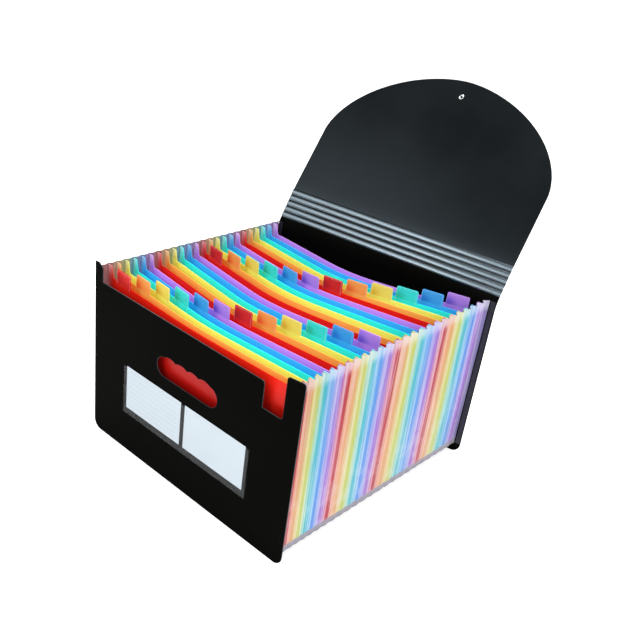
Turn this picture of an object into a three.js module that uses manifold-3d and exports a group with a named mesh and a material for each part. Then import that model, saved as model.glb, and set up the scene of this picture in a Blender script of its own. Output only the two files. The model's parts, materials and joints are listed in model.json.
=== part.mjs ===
// An expanding file folder, standing open: two stiff covers joined by a clear film bellows,
// coloured dividers held in its pleats, and a lid flap on a ribbed spine that leans back.
// Millimetres. x runs along the front cover, y from front to back and z up.
// The origin is the middle of the front cover's bottom edge.
import * as THREE from 'three';
import { mergeVertices } from 'three/addons/utils/BufferGeometryUtils.js';
import Module from 'manifold-3d';

const wasm = await Module();
wasm.setup();

// Covers
const COVER_WIDTH = 330;
const COVER_HEIGHT = 226;
const COVER_THICKNESS = 1;
const COVER_CORNER_RADIUS = 12;
const SEAT_GAP = 0.3;

// How the covers stand: the back one is fanned out to the right and sits a little to the right
const DEPTH = 314;
const FAN_DEG = 7.5;
const BACK_SHIFT = 4;

// Top edge of the front cover: a raised ear at each end and a finger slot beside the right one
const LEFT_EAR_WIDTH = 14.5;
const RIGHT_EAR_WIDTH = 24;
const MIDDLE_DROP = 22;
const SLOT_WIDTH = 28;
const SLOT_DEPTH = 30;
const EAR_CORNER_RADIUS = 3.5;

// Handle hole, with a wavy upper edge for the fingers
const HANDLE_WIDTH = 99;
const HANDLE_HEIGHT = 24.5;
const HANDLE_BOTTOM = 134.5;
const FINGER_COUNT = 4;
const FINGER_DEPTH = 2.6;

// Clear label pocket welded to the front cover, with a card in each half
const CARD_WIDTH = 96;
const CARD_HEIGHT = 56;
const CARD_THICKNESS = 0.3;
const CARD_CLEARANCE = 0.6;
const LABEL_FILM = 0.3;
const LABEL_SIDE_WELD = 4.5;
const LABEL_MIDDLE_WELD = 5.5;
const LABEL_FOOT_WELD = 8;
const LABEL_BOTTOM = 53;
const LABEL_CENTRE_X = -1.8;

// Film bellows: side walls and bottom folded in pleats, one for each pocket
const POCKET_COUNT = 25;
const BELLOWS_WIDTH = 318;
const BELLOWS_TOP = 222;
const FOOT_HEIGHT = 12;
const PLEAT_DEPTH = 4;
const FILM_THICKNESS = 0.5;
const PLEAT_CROWDING = 0.37;

// Dividers: one in each outward fold of the bellows
const DIVIDER_THICKNESS = 0.6;
const DIVIDER_TOP_MARGIN = 1;
const EAR_DROP = 14;
const EAR_WIDTH = 17;
const EAR_SLOPE = 4;
const DIVIDER_LIFT = 11;
const TABS_PER_ROW = 12;
const TAB_WIDTH = 27;
const TAB_MARGIN = 0.7;
const TAB_RISE = 15;
const TAB_CORNER = 2.6;
const TAB_SIDE_SLOPE = 0.4;
const BOW_DEPTH = 27;
const BOW_CENTRE_X = -6;
const BOW_ROUNDING = 0.12;
const BOW_START = 22;
const BOW_LEAST_RISE = 0.2;

// Spine: ribs between creases, above the bend at the top of the back cover
const BEND_RADIUS = 34;
const SPINE_HEIGHT = 227;
const SPINE_LEAN_DEG = 33;
const RIB_COUNT = 5;
const RIB_WIDTH = 8.3;
const RIB_BULGE = 0.8;
const CREASE_THICKNESS = 0.3;
const CREASE_SIDE_THICKNESS = 0.6;
const FOLD_GAP = 0.45;
const RIBS_BELOW_FOLD = 3;

// Lid flap: straight sides, then an arch a little fuller at its shoulders than at its crown
const LID_LEAN_DEG = 38;
const LID_SIDE_LENGTH = 94;
const LID_ARCH_HEIGHT = 120;
const LID_ARCH_POWER = 1.8;
const EYELET_FROM_TIP = 22.5;
const EYELET_BORE_RADIUS = 1.5;
const EYELET_BARREL_WALL = 0.5;
const EYELET_FLANGE_RADIUS = 3.6;
const EYELET_FLANGE_THICKNESS = 0.5;

const COLORS = {
  black: 0x141413,
  lid: 0x23292d,
  film: 0xdfe6e8,
  pocket: 0xf2f5f7,
  card: 0xe4edf3,
  metal: 0xd5d8da,
  dividers: [0xee3124, 0xff9b33, 0xf4ec4a, 0x2ee6de, 0x3aaeff, 0xb87cff],
};

const halfWidth = BELLOWS_WIDTH / 2;
const fanAngle = THREE.MathUtils.degToRad(FAN_DEG);
const dividerCount = POCKET_COUNT - 1;

// Geometry helpers

function geometryFrom(points, triangles) {
  const geometry = new THREE.BufferGeometry();
  geometry.setAttribute('position', new THREE.Float32BufferAttribute(points.flat(), 3));
  geometry.setIndex(triangles.flat());
  return geometry;
}

// Joins rings of the same number of points into one closed body; caps are triangles of ring indices.
function loft(rings, caps) {
  const count = rings[0].length;
  const triangles = [];
  for (let i = 0; i < rings.length - 1; i += 1) {
    for (let j = 0; j < count; j += 1) {
      const a = i * count + j;
      const b = i * count + ((j + 1) % count);
      triangles.push([a, b, b + count], [a, b + count, a + count]);
    }
  }
  const last = (rings.length - 1) * count;
  for (const [a, b, c] of caps) {
    triangles.push([a, c, b], [last + a, last + b, last + c]);
  }
  return geometryFrom(rings.flat(), triangles);
}

function toManifold(geometry) {
  const bare = geometry.clone();
  bare.deleteAttribute('normal');
  bare.deleteAttribute('uv');
  const merged = mergeVertices(bare, 1e-4);
  return new wasm.Manifold(new wasm.Mesh({
    numProp: 3,
    vertProperties: new Float32Array(merged.attributes.position.array),
    triVerts: new Uint32Array(merged.index.array),
  }));
}

function fromManifold(solid) {
  const mesh = solid.getMesh();
  const geometry = new THREE.BufferGeometry();
  geometry.setAttribute('position', new THREE.BufferAttribute(mesh.vertProperties, 3));
  geometry.setIndex(new THREE.BufferAttribute(mesh.triVerts, 1));
  return geometry;
}

function cut(geometry, ...tools) {
  let solid = toManifold(geometry);
  for (const tool of tools) {
    solid = solid.subtract(toManifold(tool));
  }
  return fromManifold(solid);
}

// An outline in x and z, made a sheet that is centred on the plane y = middle
function sheet(shape, thickness, middle) {
  const geometry = new THREE.ExtrudeGeometry(shape, {
    depth: thickness,
    bevelEnabled: false,
    curveSegments: 6,
  });
  geometry.rotateX(Math.PI / 2);
  geometry.translate(0, middle + thickness / 2, 0);
  return geometry;
}

function slab(x0, x1, y0, y1, z0, z1) {
  const box = new THREE.BoxGeometry(x1 - x0, y1 - y0, z1 - z0);
  box.translate((x0 + x1) / 2, (y0 + y1) / 2, (z0 + z1) / 2);
  return box;
}

// Front cover

function handleHole() {
  const hole = new THREE.Path();
  const radius = HANDLE_HEIGHT / 2;
  const straight = HANDLE_WIDTH / 2 - radius;
  const top = HANDLE_BOTTOM + HANDLE_HEIGHT;
  hole.moveTo(-straight, HANDLE_BOTTOM);
  hole.lineTo(straight, HANDLE_BOTTOM);
  hole.absarc(straight, HANDLE_BOTTOM + radius, radius, -Math.PI / 2, Math.PI / 2, false);
  const pitch = (2 * straight) / FINGER_COUNT;
  for (let i = 0; i < FINGER_COUNT; i += 1) {
    const from = straight - i * pitch;
    hole.quadraticCurveTo(from - pitch / 2, top + 2 * FINGER_DEPTH, from - pitch, top);
  }
  hole.absarc(-straight, HANDLE_BOTTOM + radius, radius, Math.PI / 2, Math.PI * 1.5, false);
  return hole;
}

function frontCover() {
  const edge = COVER_WIDTH / 2;
  const top = COVER_HEIGHT;
  const middle = top - MIDDLE_DROP;
  const slotFloor = middle - SLOT_DEPTH;
  const leftEar = -edge + LEFT_EAR_WIDTH;
  const slotRight = edge - RIGHT_EAR_WIDTH;
  const slotLeft = slotRight - SLOT_WIDTH;
  const r = EAR_CORNER_RADIUS;
  const foot = COVER_CORNER_RADIUS;
  const earSlant = 2;
  const shape = new THREE.Shape();
  shape.moveTo(-edge + foot, 0);
  shape.lineTo(edge - foot, 0);
  shape.absarc(edge - foot, foot, foot, -Math.PI / 2, 0, false);
  shape.lineTo(edge, top - r);
  shape.absarc(edge - r, top - r, r, 0, Math.PI / 2, false);
  shape.lineTo(slotRight + r, top - earSlant);
  shape.quadraticCurveTo(slotRight, top - earSlant, slotRight, top - earSlant - r);
  shape.lineTo(slotRight, slotFloor + r);
  shape.absarc(slotRight - r, slotFloor + r, r, 0, -Math.PI / 2, true);
  shape.lineTo(slotLeft, slotFloor);
  shape.lineTo(slotLeft, middle - r);
  shape.absarc(slotLeft - r, middle - r, r, 0, Math.PI / 2, false);
  shape.lineTo(leftEar, middle);
  shape.lineTo(leftEar, top - LEFT_EAR_WIDTH / 2);
  shape.quadraticCurveTo(leftEar, top - r, leftEar - LEFT_EAR_WIDTH / 2, top);
  shape.lineTo(-edge + 1, top);
  shape.lineTo(-edge, top - 1);
  shape.lineTo(-edge, foot);
  shape.absarc(-edge + foot, foot, foot, Math.PI, Math.PI * 1.5, false);
  shape.holes.push(handleHole());
  return sheet(shape, COVER_THICKNESS, 0);
}

// Label pocket and its cards, in front of the front cover

const pocketBack = -COVER_THICKNESS / 2 - SEAT_GAP;
const cardFront = pocketBack - CARD_THICKNESS;
const pocketInner = cardFront - SEAT_GAP;
const pocketFront = pocketInner - LABEL_FILM;
const cardOffset = (LABEL_MIDDLE_WELD + CARD_WIDTH) / 2 + CARD_CLEARANCE;
const cardBottom = LABEL_BOTTOM + LABEL_FOOT_WELD + SEAT_GAP;
const labelHalf = cardOffset + CARD_WIDTH / 2 + CARD_CLEARANCE + LABEL_SIDE_WELD;
const labelTop = cardBottom + CARD_HEIGHT - 1;

function labelPocket() {
  const body = slab(LABEL_CENTRE_X - labelHalf, LABEL_CENTRE_X + labelHalf,
    pocketFront, pocketBack, LABEL_BOTTOM, labelTop);
  const room = CARD_WIDTH / 2 + CARD_CLEARANCE;
  const cavities = [-1, 1].map((side) => {
    const middle = LABEL_CENTRE_X + side * cardOffset;
    return slab(middle - room, middle + room, pocketInner, pocketBack + 1,
      cardBottom - SEAT_GAP, labelTop + 1);
  });
  return cut(body, ...cavities);
}

function labelCard(side) {
  const middle = LABEL_CENTRE_X + side * cardOffset;
  return slab(middle - CARD_WIDTH / 2, middle + CARD_WIDTH / 2,
    cardFront, pocketBack, cardBottom, cardBottom + CARD_HEIGHT);
}

// Pleats: share is 0 at the front cover and 1 at the back cover

const frontSeat = COVER_THICKNESS / 2 + SEAT_GAP;

function backSeat(x) {
  const lean = (x - BACK_SHIFT) * Math.tan(fanAngle);
  return DEPTH + lean - COVER_THICKNESS / 2 / Math.cos(fanAngle) - SEAT_GAP;
}

function crowded(share) {
  return share - PLEAT_CROWDING * share * (1 - share) * (1 - 0.9 * share);
}

function leftPlace(share) {
  return frontSeat + share * (backSeat(-halfWidth) - frontSeat);
}

function rightPlace(share) {
  return frontSeat + crowded(share) * (backSeat(halfWidth) - frontSeat);
}

function place(share, x) {
  return THREE.MathUtils.lerp(leftPlace(share), rightPlace(share), (x + halfWidth) / BELLOWS_WIDTH);
}

const foldStep = 1 / (2 * POCKET_COUNT);

// Half the distance between two folds of the bellows, on the side that placeAt gives
function halfPitch(share, placeAt) {
  const before = Math.max(share - foldStep, 0);
  const after = Math.min(share + foldStep, 1);
  return (placeAt(after) - placeAt(before)) * foldStep / (after - before);
}

// How far a wall of film reaches across a fold, measured into the folder
function filmReach(share, placeAt) {
  const pitch = halfPitch(share, placeAt);
  return FILM_THICKNESS * Math.hypot(pitch, PLEAT_DEPTH) / pitch;
}

function bellows() {
  const rings = [];
  for (let i = 0; i <= 2 * POCKET_COUNT; i += 1) {
    const share = i * foldStep;
    const inset = i % 2 === 0 ? 0 : PLEAT_DEPTH;
    const left = -halfWidth + inset;
    const right = halfWidth - inset;
    const bottom = FOOT_HEIGHT + inset;
    const reachLeft = filmReach(share, leftPlace);
    const reachRight = filmReach(share, rightPlace);
    const reachBottom = (reachLeft + reachRight) / 2;
    const outline = [
      [left + reachLeft, BELLOWS_TOP],
      [left + reachLeft, bottom + reachBottom],
      [right - reachRight, bottom + reachBottom],
      [right - reachRight, BELLOWS_TOP],
      [right, BELLOWS_TOP],
      [right, bottom],
      [left, bottom],
      [left, BELLOWS_TOP],
    ];
    rings.push(outline.map(([x, z]) => [x, place(share, x), z]));
  }
  const caps = [[0, 1, 6], [0, 6, 7], [1, 2, 5], [1, 5, 6], [2, 3, 4], [2, 4, 5]];
  return loft(rings, caps);
}

// Dividers

const dividerTop = BELLOWS_TOP - DIVIDER_TOP_MARGIN;
const dividerEdge = dividerTop - EAR_DROP;
const earEnd = halfWidth - EAR_WIDTH;
const dividerFoot = FOOT_HEIGHT + DIVIDER_LIFT;
const bowFoot = FOOT_HEIGHT + BOW_START;

// How far from the outer fold a divider's edge stops, so that it clears the film on both sides
function edgeInset(share, placeAt) {
  const pitch = halfPitch(share, placeAt);
  const slope = PLEAT_DEPTH / pitch;
  const clear = DIVIDER_THICKNESS / 2 + SEAT_GAP * Math.hypot(pitch, PLEAT_DEPTH) / PLEAT_DEPTH;
  return filmReach(share, placeAt) + clear * slope;
}

// Share of the bow at x: 0 at the ears, 1 where the divider is bent
function bowShare(x) {
  const side = x < BOW_CENTRE_X ? BOW_CENTRE_X + earEnd : earEnd - BOW_CENTRE_X;
  const distance = Math.min(Math.abs(x - BOW_CENTRE_X) / side, 1);
  const rounded = Math.hypot(distance, BOW_ROUNDING) - BOW_ROUNDING;
  return 1 - rounded / (Math.hypot(1, BOW_ROUNDING) - BOW_ROUNDING);
}

// A divider has three flat panels: two stand upright, and the one between them leans forward.
function dividerPlace(index, x, z) {
  const bow = BOW_DEPTH * Math.sqrt(index / dividerCount);
  const rise = Math.max((z - bowFoot) / (dividerEdge - bowFoot), 0);
  return place(index / POCKET_COUNT, x) - bow * Math.min(bowShare(x), rise);
}

// The height at x of the bend between the leaning panel and an upright one
function bendHeight(x) {
  return bowFoot + Math.max(bowShare(x) * (dividerEdge - bowFoot), BOW_LEAST_RISE);
}

// The divider's upper edge as columns of x and top height
function dividerColumns(index, left, right) {
  const step = (index - 1) % TABS_PER_ROW;
  const room = 2 * (earEnd - TAB_MARGIN) - TAB_WIDTH;
  const tabLeft = -earEnd + TAB_MARGIN + step * room / (TABS_PER_ROW - 1);
  const tabRight = tabLeft + TAB_WIDTH;
  const tabTop = dividerEdge + TAB_RISE;
  const bends = [-90, -50, -26, -6, 14, 38, 80];
  const inTab = (x) => x > tabLeft + TAB_CORNER + 1 && x < tabRight - TAB_CORNER - 1;
  const offTab = (x) => x < tabLeft - 1 || x > tabRight + 1;
  return [
    [left, dividerTop],
    [-earEnd - EAR_SLOPE, dividerTop],
    [-earEnd - EAR_SLOPE / 3, dividerTop - EAR_DROP * 0.6],
    [-earEnd, dividerEdge],
    ...bends.filter(offTab).map((x) => [x, dividerEdge]),
    [tabLeft, dividerEdge],
    [tabLeft + TAB_SIDE_SLOPE, tabTop - TAB_CORNER],
    [tabLeft + TAB_CORNER, tabTop],
    ...bends.filter(inTab).map((x) => [x, tabTop]),
    [tabRight - TAB_CORNER, tabTop],
    [tabRight - TAB_SIDE_SLOPE, tabTop - TAB_CORNER],
    [tabRight, dividerEdge],
    [earEnd, dividerEdge],
    [earEnd + EAR_SLOPE / 3, dividerTop - EAR_DROP * 0.6],
    [earEnd + EAR_SLOPE, dividerTop],
    [right, dividerTop],
  ].sort((a, b) => a[0] - b[0]);
}

function divider(index) {
  const share = index / POCKET_COUNT;
  const left = -halfWidth + edgeInset(share, leftPlace);
  const right = halfWidth - edgeInset(share, rightPlace);
  const half = DIVIDER_THICKNESS / 2;
  const rings = dividerColumns(index, left, right).map(([x, top]) => {
    const bend = Math.min(bendHeight(x), top - BOW_LEAST_RISE);
    const heights = [dividerFoot, bowFoot, bend, top];
    const back = heights.map((z) => [x, dividerPlace(index, x, z) + half, z]);
    const front = heights.map((z) => [x, dividerPlace(index, x, z) - half, z]).reverse();
    return [...back, ...front];
  });
  const caps = [[0, 1, 7], [1, 6, 7], [1, 2, 6], [2, 5, 6], [2, 3, 5], [3, 4, 5]];
  return loft(rings, caps);
}

// Back cover, spine and lid: one sheet in life, described by a path up its middle surface.
// Each station is [back, up, half width, thickness], in the back cover's own frame.

function spinePoint(distance) {
  const lean = THREE.MathUtils.degToRad(SPINE_LEAN_DEG);
  const start = BEND_RADIUS * (1 - Math.cos(lean));
  return [start + distance * Math.sin(lean), SPINE_HEIGHT + distance * Math.cos(lean)];
}

// Stations over a run of ribs, which bulge forward between thin creases
function ribStations(first, last, firstGap, lastGap) {
  const lean = THREE.MathUtils.degToRad(SPINE_LEAN_DEG);
  const shares = [0, 0.16, 0.36, 0.64, 0.84, 1];
  const thicknesses = [
    CREASE_THICKNESS,
    CREASE_SIDE_THICKNESS,
    COVER_THICKNESS,
    COVER_THICKNESS,
    CREASE_SIDE_THICKNESS,
    CREASE_THICKNESS,
  ];
  const stations = [];
  for (let rib = first; rib <= last; rib += 1) {
    shares.forEach((share, i) => {
      if (i === 0 && rib > first) return;
      let distance = (rib + share) * RIB_WIDTH;
      if (rib === first && share === 0) distance += firstGap;
      if (rib === last && share === 1) distance -= lastGap;
      const [back, up] = spinePoint(distance);
      const bulge = RIB_BULGE * Math.sin(Math.PI * share) ** 2;
      stations.push([
        back - bulge * Math.cos(lean),
        up + bulge * Math.sin(lean),
        COVER_WIDTH / 2,
        thicknesses[i],
      ]);
    });
  }
  return stations;
}

function sheetAlong(stations) {
  const rings = stations.map(([back, up, half, thickness], i) => {
    const [b0, u0] = stations[Math.max(i - 1, 0)];
    const [b1, u1] = stations[Math.min(i + 1, stations.length - 1)];
    const run = new THREE.Vector2(b1 - b0, u1 - u0).normalize();
    const db = run.y * thickness / 2;
    const du = -run.x * thickness / 2;
    return [
      [half, back + db, up + du],
      [-half, back + db, up + du],
      [-half, back - db, up - du],
      [half, back - db, up - du],
    ];
  });
  return loft(rings, [[0, 1, 2], [0, 2, 3]]);
}

function backCover() {
  const lean = THREE.MathUtils.degToRad(SPINE_LEAN_DEG);
  const half = COVER_WIDTH / 2;
  const foot = COVER_CORNER_RADIUS;
  const stations = [];
  const cornerSteps = 5;
  for (let i = 0; i <= cornerSteps; i += 1) {
    const turn = (i / cornerSteps) * Math.PI / 2;
    stations.push([0, foot * (1 - Math.cos(turn)), half - foot * (1 - Math.sin(turn)), COVER_THICKNESS]);
  }
  const bendSteps = 4;
  const bendStart = SPINE_HEIGHT - BEND_RADIUS * Math.sin(lean);
  for (let i = 0; i < bendSteps; i += 1) {
    const turn = (i / bendSteps) * lean;
    stations.push([
      BEND_RADIUS * (1 - Math.cos(turn)),
      bendStart + BEND_RADIUS * Math.sin(turn),
      half,
      COVER_THICKNESS,
    ]);
  }
  stations.push(...ribStations(0, RIBS_BELOW_FOLD - 1, 0, FOLD_GAP));
  return sheetAlong(stations);
}

function lidPoint(distance) {
  const lean = THREE.MathUtils.degToRad(LID_LEAN_DEG);
  const [back, up] = spinePoint(RIB_COUNT * RIB_WIDTH);
  return [back + distance * Math.sin(lean), up + distance * Math.cos(lean)];
}

function lidFlap() {
  const half = COVER_WIDTH / 2;
  const stations = ribStations(RIBS_BELOW_FOLD, RIB_COUNT - 1, FOLD_GAP, 0);
  stations.push([...lidPoint(2), half, COVER_THICKNESS]);
  const archSteps = 24;
  for (let i = 0; i < archSteps; i += 1) {
    const turn = (i / archSteps) * Math.PI / 2;
    const distance = LID_SIDE_LENGTH + LID_ARCH_HEIGHT * Math.sin(turn) ** (2 / LID_ARCH_POWER);
    const reach = half * Math.cos(turn) ** (2 / LID_ARCH_POWER);
    stations.push([...lidPoint(distance), reach, COVER_THICKNESS]);
  }
  const drill = new THREE.CylinderGeometry(eyeletHole, eyeletHole, 6 * COVER_THICKNESS, 24);
  drill.rotateX(THREE.MathUtils.degToRad(-LID_LEAN_DEG));
  drill.applyMatrix4(eyeletFrame());
  return cut(sheetAlong(stations), drill);
}

// Eyelet in the lid

const eyeletHole = EYELET_BORE_RADIUS + EYELET_BARREL_WALL + SEAT_GAP;

// Takes a shape about the y axis to the eyelet's place, with y square to the lid
function eyeletFrame() {
  const tip = LID_SIDE_LENGTH + LID_ARCH_HEIGHT;
  const [back, up] = lidPoint(tip - EYELET_FROM_TIP);
  return new THREE.Matrix4().makeTranslation(0, back, up);
}

function eyelet() {
  const outer = EYELET_BORE_RADIUS + EYELET_BARREL_WALL;
  const seat = COVER_THICKNESS / 2 + SEAT_GAP;
  const rim = seat + EYELET_FLANGE_THICKNESS;
  const soft = EYELET_FLANGE_THICKNESS * 0.4;
  const profile = [
    [EYELET_BORE_RADIUS, -rim + soft],
    [outer, -rim],
    [EYELET_FLANGE_RADIUS - soft, -rim],
    [EYELET_FLANGE_RADIUS, -rim + soft],
    [EYELET_FLANGE_RADIUS, -seat],
    [outer, -seat],
    [outer, seat],
    [EYELET_FLANGE_RADIUS, seat],
    [EYELET_FLANGE_RADIUS, rim - soft],
    [EYELET_FLANGE_RADIUS - soft, rim],
    [outer, rim],
    [EYELET_BORE_RADIUS, rim - soft],
    [EYELET_BORE_RADIUS, -rim + soft],
  ].map(([radius, height]) => new THREE.Vector2(radius, height));
  const ring = new THREE.LatheGeometry(profile, 24);
  ring.rotateX(THREE.MathUtils.degToRad(-LID_LEAN_DEG));
  ring.applyMatrix4(eyeletFrame());
  return ring;
}

// Assembly

function part(name, geometry, color, roughness, metalness = 0) {
  const mesh = new THREE.Mesh(geometry, new THREE.MeshStandardMaterial({ color, roughness, metalness }));
  mesh.name = name;
  return mesh;
}

function frontGroup() {
  const group = new THREE.Group();
  group.add(
    part('front_cover', frontCover(), COLORS.black, 0.45),
    part('label_pocket', labelPocket(), COLORS.pocket, 0.15),
    part('label_card_left', labelCard(-1), COLORS.card, 0.9),
    part('label_card_right', labelCard(1), COLORS.card, 0.9),
  );
  return group;
}

function fileGroup() {
  const group = new THREE.Group();
  group.add(part('bellows', bellows(), COLORS.film, 0.35));
  for (let index = 1; index <= dividerCount; index += 1) {
    const color = COLORS.dividers[(index - 1) % COLORS.dividers.length];
    const name = `divider_${String(index).padStart(2, '0')}`;
    group.add(part(name, divider(index), color, 0.4));
  }
  return group;
}

function backGroup() {
  const group = new THREE.Group();
  group.add(
    part('back_cover', backCover(), COLORS.black, 0.45),
    part('lid_flap', lidFlap(), COLORS.lid, 0.5),
    part('eyelet', eyelet(), COLORS.metal, 0.25, 1),
  );
  group.position.set(BACK_SHIFT, DEPTH, 0);
  group.rotation.z = fanAngle;
  return group;
}

const folder = new THREE.Group();
folder.add(frontGroup(), fileGroup(), backGroup());

export default folder;
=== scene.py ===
"""Looks of an expanding file folder that stands open.

Two stiff black covers are joined by a frosted pleated film, with a coloured divider welded
into each outer fold. A lid on a ribbed spine leans back from the back cover, and the front
cover carries a clear pocket with two cards. All sizes are in millimetres and are turned into
metres where a mesh is made. x runs along the front cover, y to the back and z up.
"""

import json
import logging
import math
from dataclasses import dataclass, field
from enum import Enum
from typing import Iterable, Sequence

import bmesh
import bpy
import numpy as np
from mathutils import Matrix, Vector

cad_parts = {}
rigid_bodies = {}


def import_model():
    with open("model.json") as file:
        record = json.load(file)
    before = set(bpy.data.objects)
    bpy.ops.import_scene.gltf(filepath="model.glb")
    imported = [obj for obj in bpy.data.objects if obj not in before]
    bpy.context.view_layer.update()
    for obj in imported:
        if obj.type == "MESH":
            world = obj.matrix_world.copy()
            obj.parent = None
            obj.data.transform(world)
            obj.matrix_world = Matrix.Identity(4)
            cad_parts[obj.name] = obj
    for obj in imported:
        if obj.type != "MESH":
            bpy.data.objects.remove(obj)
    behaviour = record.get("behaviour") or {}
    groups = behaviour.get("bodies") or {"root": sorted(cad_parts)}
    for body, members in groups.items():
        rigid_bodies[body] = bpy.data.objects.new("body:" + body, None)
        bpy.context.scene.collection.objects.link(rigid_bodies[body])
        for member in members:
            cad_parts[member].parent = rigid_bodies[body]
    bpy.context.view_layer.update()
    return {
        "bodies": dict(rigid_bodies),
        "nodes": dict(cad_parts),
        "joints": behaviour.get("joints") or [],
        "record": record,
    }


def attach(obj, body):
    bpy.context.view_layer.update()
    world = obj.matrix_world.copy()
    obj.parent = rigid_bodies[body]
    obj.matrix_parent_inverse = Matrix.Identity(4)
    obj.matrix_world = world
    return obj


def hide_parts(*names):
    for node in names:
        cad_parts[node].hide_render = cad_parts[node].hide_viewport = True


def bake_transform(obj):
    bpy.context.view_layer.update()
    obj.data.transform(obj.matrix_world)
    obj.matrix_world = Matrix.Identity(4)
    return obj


LOG = logging.getLogger("file_folder")
MM = 0.001
Colour = tuple[float, float, float]


class Body(Enum):
    """The folder's two moving bodies."""

    FILE = "file"
    LID = "lid"


class Hue(Enum):
    """Divider colours from the front: lit, in painted shade, as an edge and as a haze in the film."""

    RED = ((242, 42, 26), (192, 14, 12), (190, 58, 68), (236, 128, 132))
    ORANGE = ((255, 209, 108), (250, 98, 12), (220, 168, 106), (238, 186, 132))
    YELLOW = ((255, 255, 136), (232, 200, 28), (190, 204, 106), (218, 226, 132))
    TEAL = ((60, 250, 255), (36, 200, 190), (60, 182, 204), (106, 214, 226))
    BLUE = ((84, 204, 255), (20, 100, 222), (86, 144, 228), (128, 184, 242))
    PURPLE = ((236, 176, 255), (90, 46, 216), (162, 106, 204), (184, 148, 228))

    @property
    def lit(self) -> tuple[int, int, int]:
        """The colour in plain light."""
        return self.value[0]

    @property
    def shade(self) -> tuple[int, int, int]:
        """The painted shade colour of a tab's lower corner and of what lies deep in a pocket."""
        return self.value[1]

    @property
    def filmed(self) -> tuple[int, int, int]:
        """The colour of a divider's edge behind the frosted film."""
        return self.value[2]

    @property
    def haze(self) -> tuple[int, int, int]:
        """The soft colour that a divider gives to the film around it."""
        return self.value[3]


def linear(colour: Sequence[float]) -> Colour:
    """Turns an 8-bit display colour into the linear one that shaders take.

    Args:
        colour: red, green and blue from 0 to 255.

    Returns:
        The linear red, green and blue from 0 to 1.
    """
    shares = [c / 255 for c in colour[:3]]
    return tuple(s / 12.92 if s <= 0.04045 else ((s + 0.055) / 1.055) ** 2.4 for s in shares)


@dataclass(frozen=True)
class FolderSizes:
    """Sizes that more than one sub-assembly shares, in millimetres."""

    cover_width: float = 330.0
    cover_height: float = 226.0
    cover_thickness: float = 1.0
    cover_corner: float = 12.0
    seat_gap: float = 0.3
    depth: float = 314.0
    fan: float = math.radians(7.5)
    back_shift: float = 4.0
    pockets: int = 25
    bellows_width: float = 318.0
    bellows_top: float = 222.0
    foot: float = 12.0
    bow_start: float = 22.0
    crowding: float = 0.37
    bow_depth: float = 27.0
    bow_centre: float = -6.0
    bow_rounding: float = 0.12
    bow_softness: float = 0.2
    ear_end: float = 142.0
    divider_edge: float = 207.0

    @property
    def half_width(self) -> float:
        """Half the width of the bellows."""
        return self.bellows_width / 2

    @property
    def front_seat(self) -> float:
        """Where the bellows starts, behind the front cover."""
        return self.cover_thickness / 2 + self.seat_gap

    @property
    def dividers(self) -> int:
        """How many dividers there are: one between each two pockets."""
        return self.pockets - 1

    def back_seat(self, x: float) -> float:
        """Returns where the bellows ends at x, in front of the fanned back cover."""
        lean = (x - self.back_shift) * math.tan(self.fan)
        return self.depth + lean - self.cover_thickness / 2 / math.cos(self.fan) - self.seat_gap

    def left_place(self, share: float) -> float:
        """Returns the y of a fold on the left side, at a share of the way back."""
        return self.front_seat + share * (self.back_seat(-self.half_width) - self.front_seat)

    def right_place(self, share: float) -> float:
        """Returns the y of a fold on the right side, where the folds crowd to the front."""
        crowded = share - self.crowding * share * (1 - share) * (1 - 0.9 * share)
        return self.front_seat + crowded * (self.back_seat(self.half_width) - self.front_seat)

    def place(self, share: float, x: float) -> float:
        """Returns the y of a fold at x, on the straight line between both sides."""
        across = (x + self.half_width) / self.bellows_width
        return self.left_place(share) * (1 - across) + self.right_place(share) * across

    def bow_share(self, x: float) -> float:
        """Returns how much of the bow a divider has at x, from 0 at its ears to 1."""
        side = self.ear_end + (self.bow_centre if x < self.bow_centre else -self.bow_centre)
        distance = min(abs(x - self.bow_centre) / side, 1.0)
        rounded = math.hypot(distance, self.bow_rounding) - self.bow_rounding
        return 1 - rounded / (math.hypot(1, self.bow_rounding) - self.bow_rounding)

    def divider_place(self, index: int, x: float, z: float) -> float:
        """Returns the y of a divider's middle surface at x and z."""
        start = self.foot + self.bow_start
        bow = self.bow_depth * math.sqrt(index / self.dividers)
        rise = max((z - start) / (self.divider_edge - start), 0.0)
        across = self.bow_share(x)
        near = max(self.bow_softness - abs(across - rise), 0.0)
        soft = min(across, rise) - near**2 / (4 * self.bow_softness)
        return self.place(index / self.pockets, x) - bow * max(soft, 0.0)

    def back_frame(self) -> Matrix:
        """Returns the fanned back cover's own frame, in millimetres."""
        turn = Matrix.Rotation(self.fan, 4, "Z")
        return Matrix.Translation((self.back_shift, self.depth, 0)) @ turn


SIZES = FolderSizes()


# Meshes


def add_object(name: str, data: bpy.types.ID) -> bpy.types.Object:
    """Puts a new object with this data in the scene and returns it."""
    piece = bpy.data.objects.new(name, data)
    bpy.context.scene.collection.objects.link(piece)
    return piece


def mesh_object(
    name: str, points: np.ndarray, faces: Iterable[Sequence[int]], smooth_deg: float = 30.0
) -> bpy.types.Object:
    """Makes an object from points in millimetres.

    Args:
        name: the piece's name.
        points: one row of x, y and z for each vertex.
        faces: the vertex numbers of each face.
        smooth_deg: edges sharper than this stay sharp.

    Returns:
        The object, at the origin and unturned.
    """
    mesh = bpy.data.meshes.new(name)
    mesh.from_pydata((np.asarray(points, float) * MM).tolist(), [], [list(f) for f in faces])
    shell = bmesh.new()
    shell.from_mesh(mesh)
    bmesh.ops.recalc_face_normals(shell, faces=shell.faces)
    shell.to_mesh(mesh)
    shell.free()
    mesh.shade_smooth()
    mesh.set_sharp_from_angle(angle=math.radians(smooth_deg))
    return add_object(name, mesh)


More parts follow.
